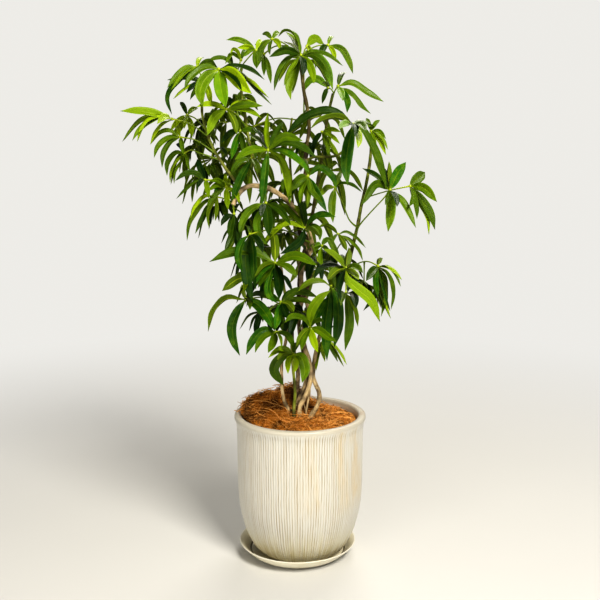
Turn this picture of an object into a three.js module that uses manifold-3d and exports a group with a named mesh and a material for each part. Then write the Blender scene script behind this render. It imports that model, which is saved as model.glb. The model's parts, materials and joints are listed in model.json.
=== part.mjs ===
// A potted umbrella plant: a cream ribbed pot on its saucer, coir mulch over potting soil, six stems
// twisted together at the base, four side branches, and compound leaves with narrow drooping leaflets.
// Millimetres, +Z up. The origin is the centre of the saucer's underside, and the plant's front faces -Y.
import * as THREE from "three";
import { mergeVertices } from "three/addons/utils/BufferGeometryUtils.js";
import Module from "manifold-3d";

const wasm = await Module();
wasm.setup();

// ---- Driving dimensions ----
const SEAT_GAP = 0.3; // clearance between touching pieces
const POT_AXIS_X = 4.8; // the pot stands a little off the saucer's centre
const POT_SEGMENTS = 48; // an even count: every second edge is a rib
const RIB_HEIGHT = 0.5; // ribs stand proud of the pot wall, grooves lie as deep
const RIBS_FROM_Z = 12;
const RIBS_TO_Z = 266;
const SAUCER_SEGMENTS = 36;
const SOIL_SEGMENTS = 30;
const DRAIN_RADIUS = 12;

// Half profiles as radius and height. Each one closes on itself or runs from axis to axis.
const SAUCER_PROFILE = [
  [0, 0],
  [80, 0],
  [89, 5],
  [101, 15],
  [109, 23.5],
  [112.3, 27],
  [109.4, 27.6],
  [103, 22],
  [94.6, 12.5],
  [84, 6],
  [0, 6],
];
const POT_PROFILE = [
  [DRAIN_RADIUS, 6.3],
  [68, 6.3],
  [84, 15.5],
  [99, 40],
  [109, 69],
  [115.5, 97],
  [119, 140],
  [119.6, 200],
  [120, 264],
  [124.2, 266.5],
  [125, 272],
  [124, 277.5],
  [120, 279.3],
  [113, 279.3],
  [110.5, 277],
  [109.5, 262],
  [106, 100],
  [86, 34],
  [66, 21],
  [DRAIN_RADIUS, 21],
];
const SOIL_PROFILE = [
  [0, 21.4],
  [65.6, 21.4],
  [85.2, 34.4],
  [104.9, 100.4],
  [108.2, 235],
  [0, 235],
];

// The mulch: a bed of coir, heaped against the left and the back of the stems.
const MULCH_BOTTOM_Z = 235.4;
const MULCH_BED_Z = 262;
const MULCH_RADIUS = 108.2;
const MULCH_EDGE_DROP = 9;
const MULCH_RING_RADII = [104, 94, 78, 58, 34];
const MULCH_HEAPS = [
  { x: -40, y: 52, height: 30, spreadX: 50, spreadY: 42 },
  { x: -84, y: -2, height: 27, spreadX: 36, spreadY: 55 },
  { x: -14, y: 62, height: 22, spreadX: 18, spreadY: 26 },
];

const STEM_FOOT_Z = 214; // the stems are rooted this low in the soil
const STEM_SIDES = 7;
const STEM_STEP = 42; // length of stem per ring of vertices
const PETIOLE_RADIUS = 1.5;
const PETIOLE_SIDES = 4;
const PETIOLE_RINGS = 4;
const PETIOLE_RISE = 30; // a leaf stalk leaves its stem about this far below the leaf's hub
const HUB_RADIUS = 3.4;
const BLADE_THICKNESS = 1.8;
const BLADE_STATIONS = [0.3, 0.68]; // along the midrib, where the blade is nearly at full width
const BLADE_ROUNDING = [0.88, 0.92];
const BLADE_ARCH = 0.1; // rise of a straight leaflet's middle, as a share of its length
const BLADE_ASPECT = 0.155; // least true width, as a share of the length
const MOST_TWIST = 0.15; // radians between a blade's two stations; more would fold its thin wall through itself
const NUDGES = [0, 13, -13, 26, -26, 40, -40, 56, -56]; // tip shifts in depth that keep leaflets clear

// The front view that the leaf and stem positions are measured in: x to the right and y down, 300, 300
// at its centre. Each position also has a depth, in millimetres behind the saucer's centre.
const VIEW = { x: 4.8, y: -1670, z: 777, pitch: THREE.MathUtils.degToRad(9.5), focal: 905, centre: 300 };

// Stems and branches: radius at the foot and at the tip, and the path as view x, view y and depth.
const STEMS = [
  {
    node: "stem_main",
    rooted: true,
    radius: [4.4, 3],
    path: [
      [293, 411, -8], [297, 403, -6], [302, 393, -4], [306, 381, 0], [306, 365, 4], [302, 345, 8],
      [299, 325, 6], [301, 305, 0], [307, 288, -6], [311, 268, -6], [305, 247, 0], [299, 228, 4],
      [300, 210, 4], [302, 190, 2], [306, 168, 0], [306, 150, 0], [309, 130, 0], [308, 112, 0],
      [304, 92, -2], [302, 74, -8], [301, 60, -18],
    ],
  },
  {
    node: "stem_twist",
    rooted: true,
    radius: [4.2, 4.4],
    path: [
      [300, 407, -18], [305, 397, -16], [308.5, 388, -14], [311, 376, -14], [309, 360, -12],
      [304, 345, -12], [304, 326, -14], [308, 308, -16], [302, 290, 8], [302, 268, 10],
      [311, 249, 10], [309, 233, -8], [297, 214, -16], [289, 202, -20], [279, 194, -26],
      [268, 188, -32], [258, 186, -37], [249, 186, -41], [240, 192, -46], [233, 205, -52],
    ],
  },
  {
    node: "stem_pale",
    rooted: true,
    radius: [3.4, 2.4],
    path: [
      [289, 412, -14], [284, 400, -16], [282, 388, -14], [281.5, 375, -10], [282, 360, -6],
      [286, 340, 0], [288, 320, 8], [286, 300, 12], [283, 282, 12], [280, 262, 8],
      [276, 245, 0], [271, 228, -10], [268, 214, -26], [266, 206, -44],
    ],
  },
  {
    node: "stem_green",
    rooted: true,
    radius: [3, 2.2],
    path: [
      [294, 409, -26], [295, 395, -27], [294.5, 383, -26], [293, 368, -24], [292, 352, -22],
      [291, 335, -22], [288, 318, -24], [286, 300, -30], [283, 284, -42], [279, 272, -64],
    ],
  },
  {
    node: "stem_brown",
    rooted: true,
    radius: [4, 2.6],
    path: [
      [297, 404, 6], [297, 392, 10], [298, 372, 14], [294, 352, 20], [292, 332, 24], [296, 312, 26],
      [299, 290, 30], [300, 268, 32], [305, 248, 34], [310, 228, 36], [314, 205, 40], [318, 180, 42],
      [322, 158, 42], [325, 140, 40], [327, 120, 36], [331, 102, 28], [333, 94, 20],
    ],
  },
  {
    node: "stem_right",
    rooted: true,
    radius: [4.4, 2.6],
    path: [
      [311, 416, -20], [315, 410, -20], [319, 401, -20], [319, 392, -18], [316, 385, -14],
      [313, 376, -4], [314, 364, -2], [316, 352, -2], [320, 335, 0], [326, 318, 4], [334, 300, 6],
      [342, 282, 4], [349, 263, 0], [352, 249, -4], [357.6, 226, -8], [361, 207, -10],
      [365, 190, -12], [369, 168, -14], [371, 150, -14], [371, 139, -12],
    ],
  },
  {
    node: "branch_right",
    grows: "stem_main",
    radius: [2.6, 1.9],
    path: [
      [306, 161, 0], [314, 157, -6], [325, 157, -14], [338, 155, -26], [347, 146, -40], [351, 135, -58],
    ],
  },
  {
    node: "branch_upper_left",
    grows: "stem_twist",
    radius: [3.2, 2],
    path: [
      [264, 187, -34], [257, 172, -26], [252, 155, -18], [248, 135, -8], [245, 115, 0], [242, 95, 6],
      [240, 80, 6], [242, 68, 2],
    ],
  },
  {
    node: "branch_far_left",
    grows: "stem_twist",
    radius: [3, 1.9],
    path: [
      [242, 190, -45], [232, 177, -38], [222, 163, -28], [213, 148, -18], [206, 130, -8],
      [202, 112, 0], [203, 97, 10], [205, 89, 22],
    ],
  },
  {
    node: "branch_back",
    grows: "stem_brown",
    radius: [3.2, 2],
    path: [
      [296, 312, 26], [301, 296, 52], [300, 275, 82], [297, 250, 102], [294, 220, 112],
      [292, 190, 112], [290, 160, 104], [290, 134, 92], [292, 118, 84],
    ],
  },
];

// Compound leaves. hub: view x, view y and depth where the leaflets meet. reach: length of a full
// leaflet in millimetres. stalk: more view points that the leaf stalk passes, from the stem on. Each
// leaflet is its visible width in millimetres, its tone, and view x and y from the hub to the tip.
// "olive" shows the underside. "back" points away from the front. A second leaf of one shoot joins.
const LEAVES = [
  {
    node: "leaf_far_left", stem: "branch_far_left", hub: [172, 119, -20], reach: 100,
    leaflets: [
      [13, "bright", 146, 112, 120, 111], [6, "mid", 160, 117, 146, 124, 137, 142],
      [5, "mid", 158, 115, 140, 123, 122, 142], [9, "mid", 160, 118, 142, 129, 132, 141],
      [5, "dark", 150, 145], [8, "mid", 157, 124],
    ],
  },
  {
    node: "leaf_left_crown", stem: "branch_far_left", hub: [197, 67, 10], reach: 75,
    leaflets: [
      [10, "mid", 189, 67, 180, 73, 167, 88], [7, "mid", 186, 72, 179, 80, 171, 90],
      [9, "dark", 180, 80, 168, 97, 172, 115], [8, "mid back", 203, 58], [9, "dark", 210, 62, 218, 68],
    ],
  },
  {
    node: "leaf_left_crown_back", stem: "branch_far_left", hub: [206, 84, 48], reach: 80,
    leaflets: [
      [9, "dark", 190, 78, 167, 80], [5, "mid", 190, 87, 173, 99], [8, "dark", 186, 93],
      [7, "mid", 190, 100], [10, "dark", 212, 106], [9, "dark back", 214, 70],
    ],
  },
  {
    node: "leaf_big_left", stem: "branch_upper_left", hub: [219, 69, -50], reach: 92,
    leaflets: [
      [11, "mid", 208, 67, 200, 70, 190, 79, 184, 90], [20, "bright", 206, 78, 200, 92, 203, 107],
      [22, "pale", 221, 88, 226, 108], [22, "bright", 232, 74, 243, 86, 252, 94],
      [6, "dark", 234, 80, 242, 91], [7, "dark", 232, 66, 250, 70, 265, 80],
      [6, "dark", 238, 73, 255, 90, 272, 105], [5, "mid", 245, 80, 269, 98],
    ],
  },
  {
    node: "leaf_small_top_left", stem: "branch_upper_left", hub: [233, 66, 14], reach: 56,
    leaflets: [
      [7, "mid", 225, 59, 218, 58, 206, 62], [6, "mid", 238, 78], [7, "dark back", 228, 54],
    ],
  },
  {
    node: "leaf_small_top_left", joins: true, hub: [241, 60, 18], reach: 46,
    leaflets: [
      [6, "bright", 237, 51, 233, 49, 230, 54], [6, "mid", 232, 54, 225, 64], [7, "dark back", 246, 49],
    ],
  },
  {
    node: "leaf_upper_left", stem: "branch_upper_left", hub: [256, 50, -14], reach: 58,
    stalk: [[241, 68], [250, 56]],
    leaflets: [
      [9, "mid", 245, 42, 235, 39, 226, 40], [9, "bright", 246, 47, 237, 48], [8, "mid", 250, 50, 243, 57],
      [8, "dark", 255, 58, 257, 69], [8, "mid back", 262, 40],
    ],
  },
  {
    node: "leaf_crown_left", stem: "stem_main", hub: [272, 39, 24], reach: 56,
    leaflets: [
      [11, "mid", 264, 44, 259, 55, 258, 66], [6, "dark", 270, 47, 270, 55],
      [9, "bright", 278, 42, 281, 50], [8, "mid back", 280, 33], [8, "dark back", 262, 34],
    ],
  },
  {
    node: "leaf_crown_left", joins: true, hub: [264, 54, 52], reach: 60,
    leaflets: [[9, "dark", 264, 76], [9, "mid", 268, 66, 271, 84], [7, "mid", 257, 68], [8, "dark back", 255, 44]],
  },
  {
    node: "leaf_crown", stem: "stem_main", hub: [301, 55, -34], reach: 92,
    leaflets: [
      [13, "dark", 285, 50, 269, 57], [9, "mid", 290, 58, 280, 72, 274, 91], [8, "dark", 291, 70, 284, 86],
      [15, "bright", 293, 72, 289, 88, 291, 100], [11, "dark", 303, 66, 302, 76],
      [13, "bright", 309, 64, 313, 75, 314, 84], [15, "pale", 314, 55, 325, 65, 333, 90],
      [6, "mid", 313, 52, 327, 56, 343, 66], [10, "mid back", 293, 38, 286, 32],
      [5, "mid back", 293, 34, 285, 31, 278, 37], [5, "mid back", 292, 46, 283, 41],
    ],
  },
  {
    node: "leaf_crown_right", stem: "stem_main", hub: [307, 46, 22], reach: 56,
    leaflets: [[15, "mid back", 314, 39, 324, 44], [10, "mid back", 311, 40, 315, 34], [8, "dark", 312, 58]],
  },
  {
    node: "leaf_crown_right", joins: true, hub: [328, 45, 6], reach: 58,
    leaflets: [
      [11, "dark", 323, 48, 320, 58], [8, "bright", 333, 51, 336, 61], [11, "mid", 341, 49, 349, 62, 353, 74],
      [7, "mid back", 334, 37],
    ],
  },
  {
    node: "leaf_upper_right", stem: "stem_brown", hub: [338, 86, -2], reach: 88,
    leaflets: [
      [11, "pale", 341, 92, 343, 101], [11, "mid", 352, 83, 368, 93, 384, 102],
      [8, "mid", 352, 96, 361, 107, 371, 114], [11, "dark", 347, 101, 347, 113], [9, "dark back", 346, 72],
    ],
  },
  {
    node: "leaf_upper_right", joins: true, hub: [328, 88, 34], reach: 54,
    leaflets: [[13, "pale", 318, 79, 310, 80, 304, 91], [6, "bright back", 333, 80], [6, "bright", 322, 83], [8, "dark", 322, 104]],
  },
  {
    node: "leaf_left_upper", stem: "branch_far_left", hub: [187, 115, 30], reach: 54,
    leaflets: [
      [11, "bright", 180, 127, 170, 141], [9, "mid", 178, 121, 170, 131], [8, "mid", 184, 129],
      [11, "bright", 191, 126, 192, 138], [8, "dark back", 180, 102], [8, "dark back", 198, 108],
    ],
  },
  {
    node: "leaf_left_mid", stem: "branch_far_left", hub: [180, 137, -6], reach: 62,
    leaflets: [
      [9, "mid", 169, 138, 158, 147, 154, 158], [9, "dark", 171, 142, 164, 153, 162, 168],
      [7, "mid", 168, 131, 158, 135, 151, 144], [8, "mid", 184, 156], [8, "dark back", 176, 124],
    ],
  },
  {
    node: "leaf_left_dark", stem: "branch_far_left", hub: [185, 153, 24], reach: 62,
    stalk: [[200, 153], [191, 150]],
    leaflets: [
      [9, "dark", 176, 153, 168, 163, 167, 176], [5, "mid", 180, 158, 172, 170, 170, 183],
      [5, "mid", 182, 162, 176, 172, 174, 184], [6, "mid", 190, 172], [8, "dark back", 176, 144],
    ],
  },
  {
    node: "leaf_left_yellow", stem: "branch_far_left", hub: [205, 180, -48], reach: 64,
    leaflets: [
      [9, "bright", 195, 173, 185, 174, 175, 181], [5, "mid", 197, 181, 187, 189, 176, 199],
      [11, "dark back", 201, 170, 197, 159], [6, "bright", 197, 189], [9, "olive back", 196, 174, 188, 171],
      [9, "mid", 209, 199],
    ],
  },
  {
    node: "leaf_star", stem: "branch_upper_left", hub: [268, 150, -112], reach: 100,
    leaflets: [
      [9, "mid back", 268, 131, 268, 112], [11, "mid back", 275, 138, 283, 121], [12, "mid", 285, 137, 303, 141],
      [12, "bright", 285, 143, 300, 147, 317, 158], [11, "mid", 284, 152, 299, 162, 310, 173],
      [13, "bright", 278, 157, 286, 178, 290, 205], [13, "mid", 266, 168, 262, 206],
      [12, "mid", 252, 150, 234, 160], [8, "dark back", 258, 140, 248, 134], [7, "dark back", 260, 136, 252, 127],
    ],
  },
  {
    node: "leaf_left_inner", stem: "branch_upper_left", hub: [227, 109, -44], reach: 78,
    leaflets: [
      [15, "bright", 215, 117, 207, 136], [6, "mid back", 242, 102, 257, 103], [11, "mid", 245, 105, 263, 106],
      [11, "olive", 234, 121, 237, 135], [9, "dark", 245, 110, 262, 118], [9, "mid", 210, 104, 196, 107],
    ],
  },
  {
    node: "leaf_left_centre", stem: "branch_upper_left", hub: [240, 131, -10], reach: 78,
    leaflets: [
      [11, "mid", 235, 145, 231, 160], [8, "pale", 250, 130, 259, 134], [10, "dark", 230, 133, 221, 143],
      [10, "mid", 246, 160], [9, "dark back", 236, 114],
    ],
  },
  {
    node: "leaf_left_centre", joins: true, hub: [252, 158, -52], reach: 86,
    leaflets: [[13, "dark", 243, 174, 236, 190, 232, 204], [10, "mid", 260, 180], [9, "dark", 240, 162, 230, 176]],
  },
  {
    node: "leaf_left_low_inner", stem: "stem_twist", hub: [226, 187, -34], reach: 58,
    leaflets: [
      [9, "mid", 216, 185, 208, 191], [9, "dark", 217, 180, 209, 181], [10, "bright", 227, 199, 228, 210],
      [9, "mid", 216, 194, 206, 207], [8, "dark", 236, 193, 240, 204], [8, "mid back", 224, 173],
    ],
  },
  {
    node: "leaf_right_high", stem: "branch_right", hub: [353, 124, -84], reach: 112,
    leaflets: [
      [13, "dark", 340, 115, 325, 112, 306, 118, 284, 137], [11, "olive", 337, 117, 320, 121, 310, 129],
      [9, "pale", 346, 124, 339, 129], [19, "pale", 348, 148, 346, 168, 348, 186], [11, "bright", 357, 134, 358, 148],
      [5, "mid back", 364, 123, 375, 127], [7, "mid", 360, 124, 366, 131],
      [13, "pale", 361, 128, 371, 145, 380, 168, 387, 190], [8, "dark", 355, 137],
    ],
  },
  {
    node: "leaf_right_small", stem: "stem_right", hub: [371, 131, -10], reach: 48,
    leaflets: [
      [6, "mid", 379, 131, 386, 139], [8, "mid", 380, 141, 386, 155], [5, "mid", 381, 137, 388, 150],
      [7, "bright", 376, 150], [7, "dark back", 366, 118], [7, "dark back", 380, 120],
    ],
  },
  {
    node: "leaf_right_inner", stem: "stem_brown", hub: [322, 132, 12], reach: 58,
    leaflets: [
      [8, "mid", 332, 129, 341, 132], [7, "mid", 333, 139], [7, "bright", 331, 136, 340, 144],
      [8, "mid", 327, 145, 329, 159], [8, "mid", 330, 144, 340, 158], [9, "dark", 316, 139, 312, 149],
    ],
  },
  {
    node: "leaf_centre", stem: "stem_main", hub: [308, 176, -74], reach: 80,
    leaflets: [
      [11, "mid", 320, 168, 332, 177, 337, 190], [15, "mid", 299, 180, 292, 191], [13, "mid", 315, 190, 327, 212],
      [10, "dark", 312, 192, 323, 203], [10, "olive", 308, 192, 307, 208], [9, "bright", 302, 190, 300, 204],
      [10, "dark", 296, 186, 288, 201], [9, "mid back", 301, 158],
    ],
  },
  {
    node: "leaf_centre_right", stem: "stem_right", hub: [335, 187, -34], reach: 72,
    stalk: [[350, 221], [343, 204]],
    leaflets: [
      [13, "bright", 332, 204, 333, 223], [5, "mid", 341, 184, 350, 185, 362, 192], [9, "mid", 326, 188, 320, 197],
      [8, "mid back", 330, 172], [8, "dark back", 342, 172],
    ],
  },
  {
    node: "leaf_right_big", stem: "stem_right", hub: [390, 190, -72], reach: 92,
    stalk: [[359, 226], [370, 213], [384, 198]],
    leaflets: [
      [17, "bright back", 398, 173, 406, 162], [9, "olive back", 388, 174, 389, 161],
      [13, "bright", 376, 184, 362, 205], [10, "dark back", 385, 176, 382, 165], [10, "mid", 402, 201, 416, 228],
      [16, "mid", 391, 208, 388, 232], [8, "dark", 387, 197, 385, 205], [8, "dark", 395, 196, 397, 207],
      [9, "dark back", 376, 176, 362, 168],
    ],
  },
  {
    node: "leaf_right_outer", stem: "stem_right", hub: [410, 186, -46], reach: 84,
    stalk: [[363, 200], [384, 192]],
    leaflets: [
      [15, "bright", 424, 188, 437, 202], [14, "mid", 420, 198, 430, 213, 435, 230], [7, "mid", 417, 202, 426, 218, 429, 235],
      [9, "dark", 415, 203, 417, 219], [18, "bright back", 418, 178, 425, 172], [8, "mid", 413, 196, 409, 207],
    ],
  },
  {
    node: "leaf_right_low_front", stem: "stem_right", hub: [346, 268, -114], reach: 108,
    leaflets: [
      [10, "bright", 335, 257, 323, 249], [11, "olive back", 347, 258, 349, 247], [13, "olive", 338, 270, 327, 280],
      [7, "dark", 330, 266, 320, 270, 314, 279], [10, "dark", 340, 280, 338, 290, 341, 302],
      [17, "bright", 347, 279, 356, 288, 370, 300, 380, 322], [7, "mid", 354, 267, 363, 273], [11, "dark", 353, 273, 359, 280],
    ],
  },
  {
    node: "leaf_right_low_front", joins: true, hub: [346, 293, -76], reach: 106,
    leaflets: [[15, "mid", 349, 320, 345, 351], [8, "olive", 351, 302, 355, 312, 358, 327], [11, "dark", 353, 294, 356, 309], [9, "dark", 341, 306]],
  },
  {
    node: "leaf_right_low", stem: "stem_right", hub: [378, 266, -40], reach: 84,
    stalk: [[362, 262], [370, 262]],
    leaflets: [
      [5, "mid", 389, 269, 402, 280], [4, "mid", 386, 266, 394, 274, 401, 287], [7, "dark", 386, 273, 392, 290, 391, 310],
      [9, "dark", 383, 277, 384, 298, 381, 317], [5, "mid", 379, 290, 384, 305, 391, 319], [5, "mid", 383, 290, 388, 307],
      [14, "bright", 372, 272, 366, 281], [10, "mid", 378, 282, 371, 300, 363, 311], [10, "bright", 375, 280, 378, 298],
      [9, "olive back", 381, 258],
    ],
  },
  {
    node: "leaf_right_mid_small", stem: "stem_right", hub: [338, 234, -24], reach: 56,
    leaflets: [
      [5, "mid", 346, 232, 356, 238, 366, 248], [9, "olive", 342, 240, 347, 251], [6, "mid", 349, 241, 358, 251, 363, 261],
      [4, "dark", 333, 243], [7, "olive", 332, 228, 325, 225, 317, 228],
    ],
  },
  {
    node: "leaf_small_star", stem: "stem_brown", hub: [322, 246, -84], reach: 54,
    leaflets: [
      [10, "bright", 328, 239, 334, 248, 340, 259], [8, "mid", 320, 257, 323, 268], [5, "pale", 314, 247],
      [5, "pale back", 328, 238], [6, "bright", 314, 252], [7, "mid", 331, 256],
    ],
  },
  {
    node: "leaf_fan_centre", stem: "stem_twist", hub: [305, 228, -64], reach: 92,
    leaflets: [
      [10, "dark back", 291, 214, 279, 200], [9, "pale back", 293, 216, 281, 206], [10, "dark back", 299, 212, 289, 203],
      [11, "dark back", 303, 212, 298, 197], [9, "mid", 312, 220, 321, 215, 336, 217], [7, "dark", 312, 226, 318, 230, 320, 241],
      [7, "olive", 311, 230, 320, 236], [9, "bright", 289, 224, 278, 229, 269, 238, 260, 248],
      [14, "dark", 301, 240, 290, 249, 280, 254],
    ],
  },
  {
    node: "leaf_left_hanging", stem: "stem_twist", hub: [250, 234, -118], reach: 114,
    leaflets: [
      [20, "pale", 246, 250, 247, 276, 253, 304], [11, "dark", 256, 240, 263, 253], [11, "dark", 243, 241, 239, 256, 243, 273],
      [5, "bright back", 257, 230], [5, "pale back", 242, 227], [13, "pale", 253, 250, 254, 270, 256, 290],
    ],
  },
  {
    node: "leaf_left_low_front", stem: "stem_green", hub: [275, 263, -118], reach: 110,
    leaflets: [
      [16, "bright", 254, 252, 232, 253, 209, 262], [14, "mid", 296, 256, 318, 266], [10, "olive", 265, 266, 254, 277],
      [11, "dark", 268, 272, 258, 288], [11, "mid", 270, 276, 268, 292, 277, 303], [16, "dark", 279, 280, 279, 300],
      [15, "olive back", 275, 245, 272, 225], [10, "dark", 287, 267, 297, 278], [9, "pale", 265, 272, 256, 284],
    ],
  },
  {
    node: "leaf_low_left", stem: "stem_pale", hub: [246, 299, -62], reach: 104,
    leaflets: [
      [9, "olive", 238, 299, 226, 299, 214, 312, 208, 332], [16, "dark", 241, 306, 233, 324, 234, 340, 240, 356],
      [18, "mid", 258, 305, 268, 317, 275, 331], [7, "dark", 258, 295, 270, 298], [4, "mid", 250, 310],
      [8, "dark back", 240, 288],
    ],
  },
  {
    node: "leaf_low_left", joins: true, hub: [248, 278, -88], reach: 62,
    leaflets: [[15, "olive", 238, 279, 222, 291], [10, "olive back", 242, 274, 236, 274], [9, "dark", 244, 292]],
  },
  {
    node: "leaf_low_front", stem: "stem_green", hub: [276, 332, -98], reach: 84,
    leaflets: [
      [14, "mid", 264, 330, 253, 340, 246, 355], [10, "mid", 264, 337, 258, 345, 255, 353], [13, "bright", 273, 342, 268, 353],
      [9, "dark", 287, 335, 295, 350], [4, "mid", 282, 348], [9, "dark back", 284, 322],
    ],
  },
  {
    node: "leaf_low_centre", stem: "stem_pale", hub: [281, 302, -84], reach: 70,
    leaflets: [
      [14, "pale", 279, 313, 275, 330], [11, "mid back", 270, 294, 268, 282], [13, "dark", 297, 291, 318, 297],
      [9, "dark", 299, 300, 316, 305], [13, "olive", 288, 304, 294, 312], [12, "dark", 285, 311, 289, 320],
      [8, "mid back", 289, 293, 298, 289],
    ],
  },
  {
    node: "leaf_low_right", stem: "stem_main", hub: [310, 327, -124], reach: 90,
    leaflets: [
      [15, "bright", 311, 312, 319, 299, 331, 290], [6, "mid back", 303, 318, 295, 309], [8, "mid", 302, 319, 292, 317, 284, 323],
      [13, "bright", 320, 331, 328, 337, 337, 342], [12, "bright", 313, 339, 318, 353], [10, "mid", 305, 337, 301, 351],
      [6, "dark", 318, 321, 324, 321], [15, "dark back", 319, 311, 328, 297], [9, "olive", 302, 335, 296, 347],
    ],
  },
  {
    node: "leaf_low_right_hanging", stem: "stem_right", hub: [331, 286, -58], reach: 108,
    leaflets: [
      [8, "bright", 320, 281, 308, 284, 297, 292], [19, "mid", 328, 304, 325, 332, 327, 361],
      [18, "mid", 337, 300, 338, 324, 334, 348], [6, "dark", 337, 290, 341, 306], [8, "dark back", 338, 276],
    ],
  },
  {
    node: "leaf_left_drooping", stem: "stem_twist", hub: [217, 197, -40], reach: 94,
    leaflets: [
      [6, "mid", 206, 197, 196, 208, 190, 219], [8, "mid", 207, 202, 197, 213, 190, 226, 187, 241],
      [9, "dark", 208, 210, 202, 222, 195, 234], [7, "olive", 209, 213, 209, 228], [7, "olive", 218, 209, 215, 221],
      [10, "dark back", 222, 184],
    ],
  },
  {
    node: "leaf_left_dark_low", stem: "stem_twist", hub: [234, 214, -76], reach: 88,
    leaflets: [
      [9, "dark", 227, 218, 221, 226], [11, "dark", 233, 234, 224, 254], [9, "dark", 238, 229, 239, 245],
      [7, "dark back", 241, 204], [11, "mid", 231, 226, 230, 240],
    ],
  },
  {
    node: "leaf_centre_low", stem: "stem_pale", hub: [266, 203, -94], reach: 84,
    leaflets: [
      [12, "mid", 251, 210, 242, 224, 240, 237], [16, "mid", 268, 219, 269, 237], [10, "bright", 262, 209, 261, 217],
      [12, "pale", 257, 226, 268, 246], [12, "mid", 279, 209, 291, 225], [9, "dark back", 258, 190],
    ],
  },
  {
    node: "leaf_base", stem: "stem_brown", hub: [293, 354, -84], reach: 78,
    leaflets: [
      [6, "mid", 281, 350, 268, 358], [17, "dark", 282, 357, 274, 369, 284, 386], [18, "bright", 301, 357, 305, 369, 302, 383],
      [10, "bright", 288, 362, 288, 374], [12, "olive", 284, 353, 277, 360], [8, "mid", 296, 363, 294, 373],
      [9, "dark back", 300, 343], [9, "mid", 284, 349, 274, 349],
    ],
  },
  {
    node: "leaf_low_right_back", stem: "stem_right", hub: [325, 338, 25], reach: 82,
    leaflets: [
      [5, "mid", 337, 350, 347, 365], [5, "olive", 334, 351, 344, 367], [5, "dark", 331, 351, 338, 362],
      [8, "dark", 322, 349, 325, 362], [9, "dark", 319, 351, 316, 371], [9, "dark back", 334, 326],
    ],
  },
];

// Leaves on the sides that the front view hides: whole whorls, the leaflets evenly spread and drooping.
const BACK_LEAVES = [
  { node: "shoot_back_high", stem: "branch_back", hub: [320, 116, 112], reach: 78, count: 6 },
  { node: "shoot_back_high", joins: true, hub: [254, 126, 128], reach: 80, count: 7 },
  { node: "shoot_back_high", joins: true, hub: [304, 60, 92], reach: 66, count: 7 },
  { node: "shoot_back_middle", stem: "branch_back", hub: [288, 136, 168], reach: 92, count: 7 },
  { node: "shoot_back_middle", joins: true, hub: [252, 160, 142], reach: 84, count: 7 },
  { node: "shoot_back_middle", joins: true, hub: [328, 170, 138], reach: 88, count: 7 },
  { node: "shoot_back_low", stem: "branch_back", hub: [300, 214, 184], reach: 92, count: 7 },
  { node: "shoot_back_low", joins: true, hub: [262, 226, 150], reach: 84, count: 6 },
  { node: "shoot_back_low", joins: true, hub: [318, 268, 146], reach: 88, count: 7 },
  { node: "shoot_back_left", stem: "branch_far_left", hub: [226, 122, 82], reach: 80, count: 6 },
  { node: "shoot_back_left", joins: true, hub: [212, 158, 74], reach: 78, count: 6 },
];

// Leaves deep in the crown, behind the listed ones: whole whorls again, each joined to a listed leaf's stalk.
const INNER_LEAVES = [
  { node: "leaf_left_upper", joins: true, hub: [206, 122, 62], reach: 74, count: 6 },
  { node: "leaf_left_mid", joins: true, hub: [196, 146, 52], reach: 72, count: 6 },
  { node: "leaf_left_dark", joins: true, hub: [207, 170, 34], reach: 70, count: 6 },
  { node: "leaf_left_inner", joins: true, hub: [234, 101, 52], reach: 74, count: 6 },
  { node: "leaf_left_centre", joins: true, hub: [243, 148, 44], reach: 76, count: 6 },
  { node: "leaf_left_low_inner", joins: true, hub: [230, 174, 20], reach: 72, count: 6 },
  { node: "leaf_left_drooping", joins: true, hub: [221, 205, 16], reach: 68, count: 6 },
  { node: "leaf_left_dark_low", joins: true, hub: [246, 222, -8], reach: 76, count: 6 },
  { node: "leaf_centre_low", joins: true, hub: [264, 206, -16], reach: 74, count: 6 },
  { node: "leaf_fan_centre", joins: true, hub: [284, 236, 40], reach: 78, count: 7 },
  { node: "leaf_left_hanging", joins: true, hub: [254, 254, -30], reach: 76, count: 6 },
  { node: "leaf_left_low_front", joins: true, hub: [266, 280, -30], reach: 74, count: 6 },
  { node: "leaf_low_centre", joins: true, hub: [268, 312, -14], reach: 72, count: 6 },
  { node: "leaf_centre", joins: true, hub: [290, 184, 44], reach: 78, count: 7 },
  { node: "leaf_small_star", joins: true, hub: [318, 262, -14], reach: 72, count: 6 },
  { node: "leaf_right_mid_small", joins: true, hub: [334, 256, 36], reach: 70, count: 6 },
  { node: "leaf_low_right", joins: true, hub: [304, 312, -44], reach: 74, count: 6 },
  { node: "leaf_low_right_hanging", joins: true, hub: [350, 278, 20], reach: 74, count: 6 },
  { node: "leaf_right_low", joins: true, hub: [364, 284, 10], reach: 66, count: 6 },
  { node: "leaf_right_inner", joins: true, hub: [316, 148, 52], reach: 70, count: 6 },
];

// ---- Small vector helpers ----
const UP = new THREE.Vector3(0, 0, 1);
const EYE = new THREE.Vector3(VIEW.x, VIEW.y, VIEW.z);

// The point of the plant that is seen at view x, view y when it lies at the given depth.
function fromView([x, y], depth) {
  const cos = Math.cos(VIEW.pitch);
  const sin = Math.sin(VIEW.pitch);
  const rise = (VIEW.centre - y) / VIEW.focal;
  const away = depth - VIEW.y;
  const climb = (away * (rise * cos - sin)) / (cos + rise * sin);
  const range = away * cos - climb * sin;
  return new THREE.Vector3(VIEW.x + ((x - VIEW.centre) * range) / VIEW.focal, depth, VIEW.z + climb);
}

// Millimetres per view step at a point.
function viewScale(point) {
  const range =
    (point.y - VIEW.y) * Math.cos(VIEW.pitch) - (point.z - VIEW.z) * Math.sin(VIEW.pitch);
  return range / VIEW.focal;
}

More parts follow.
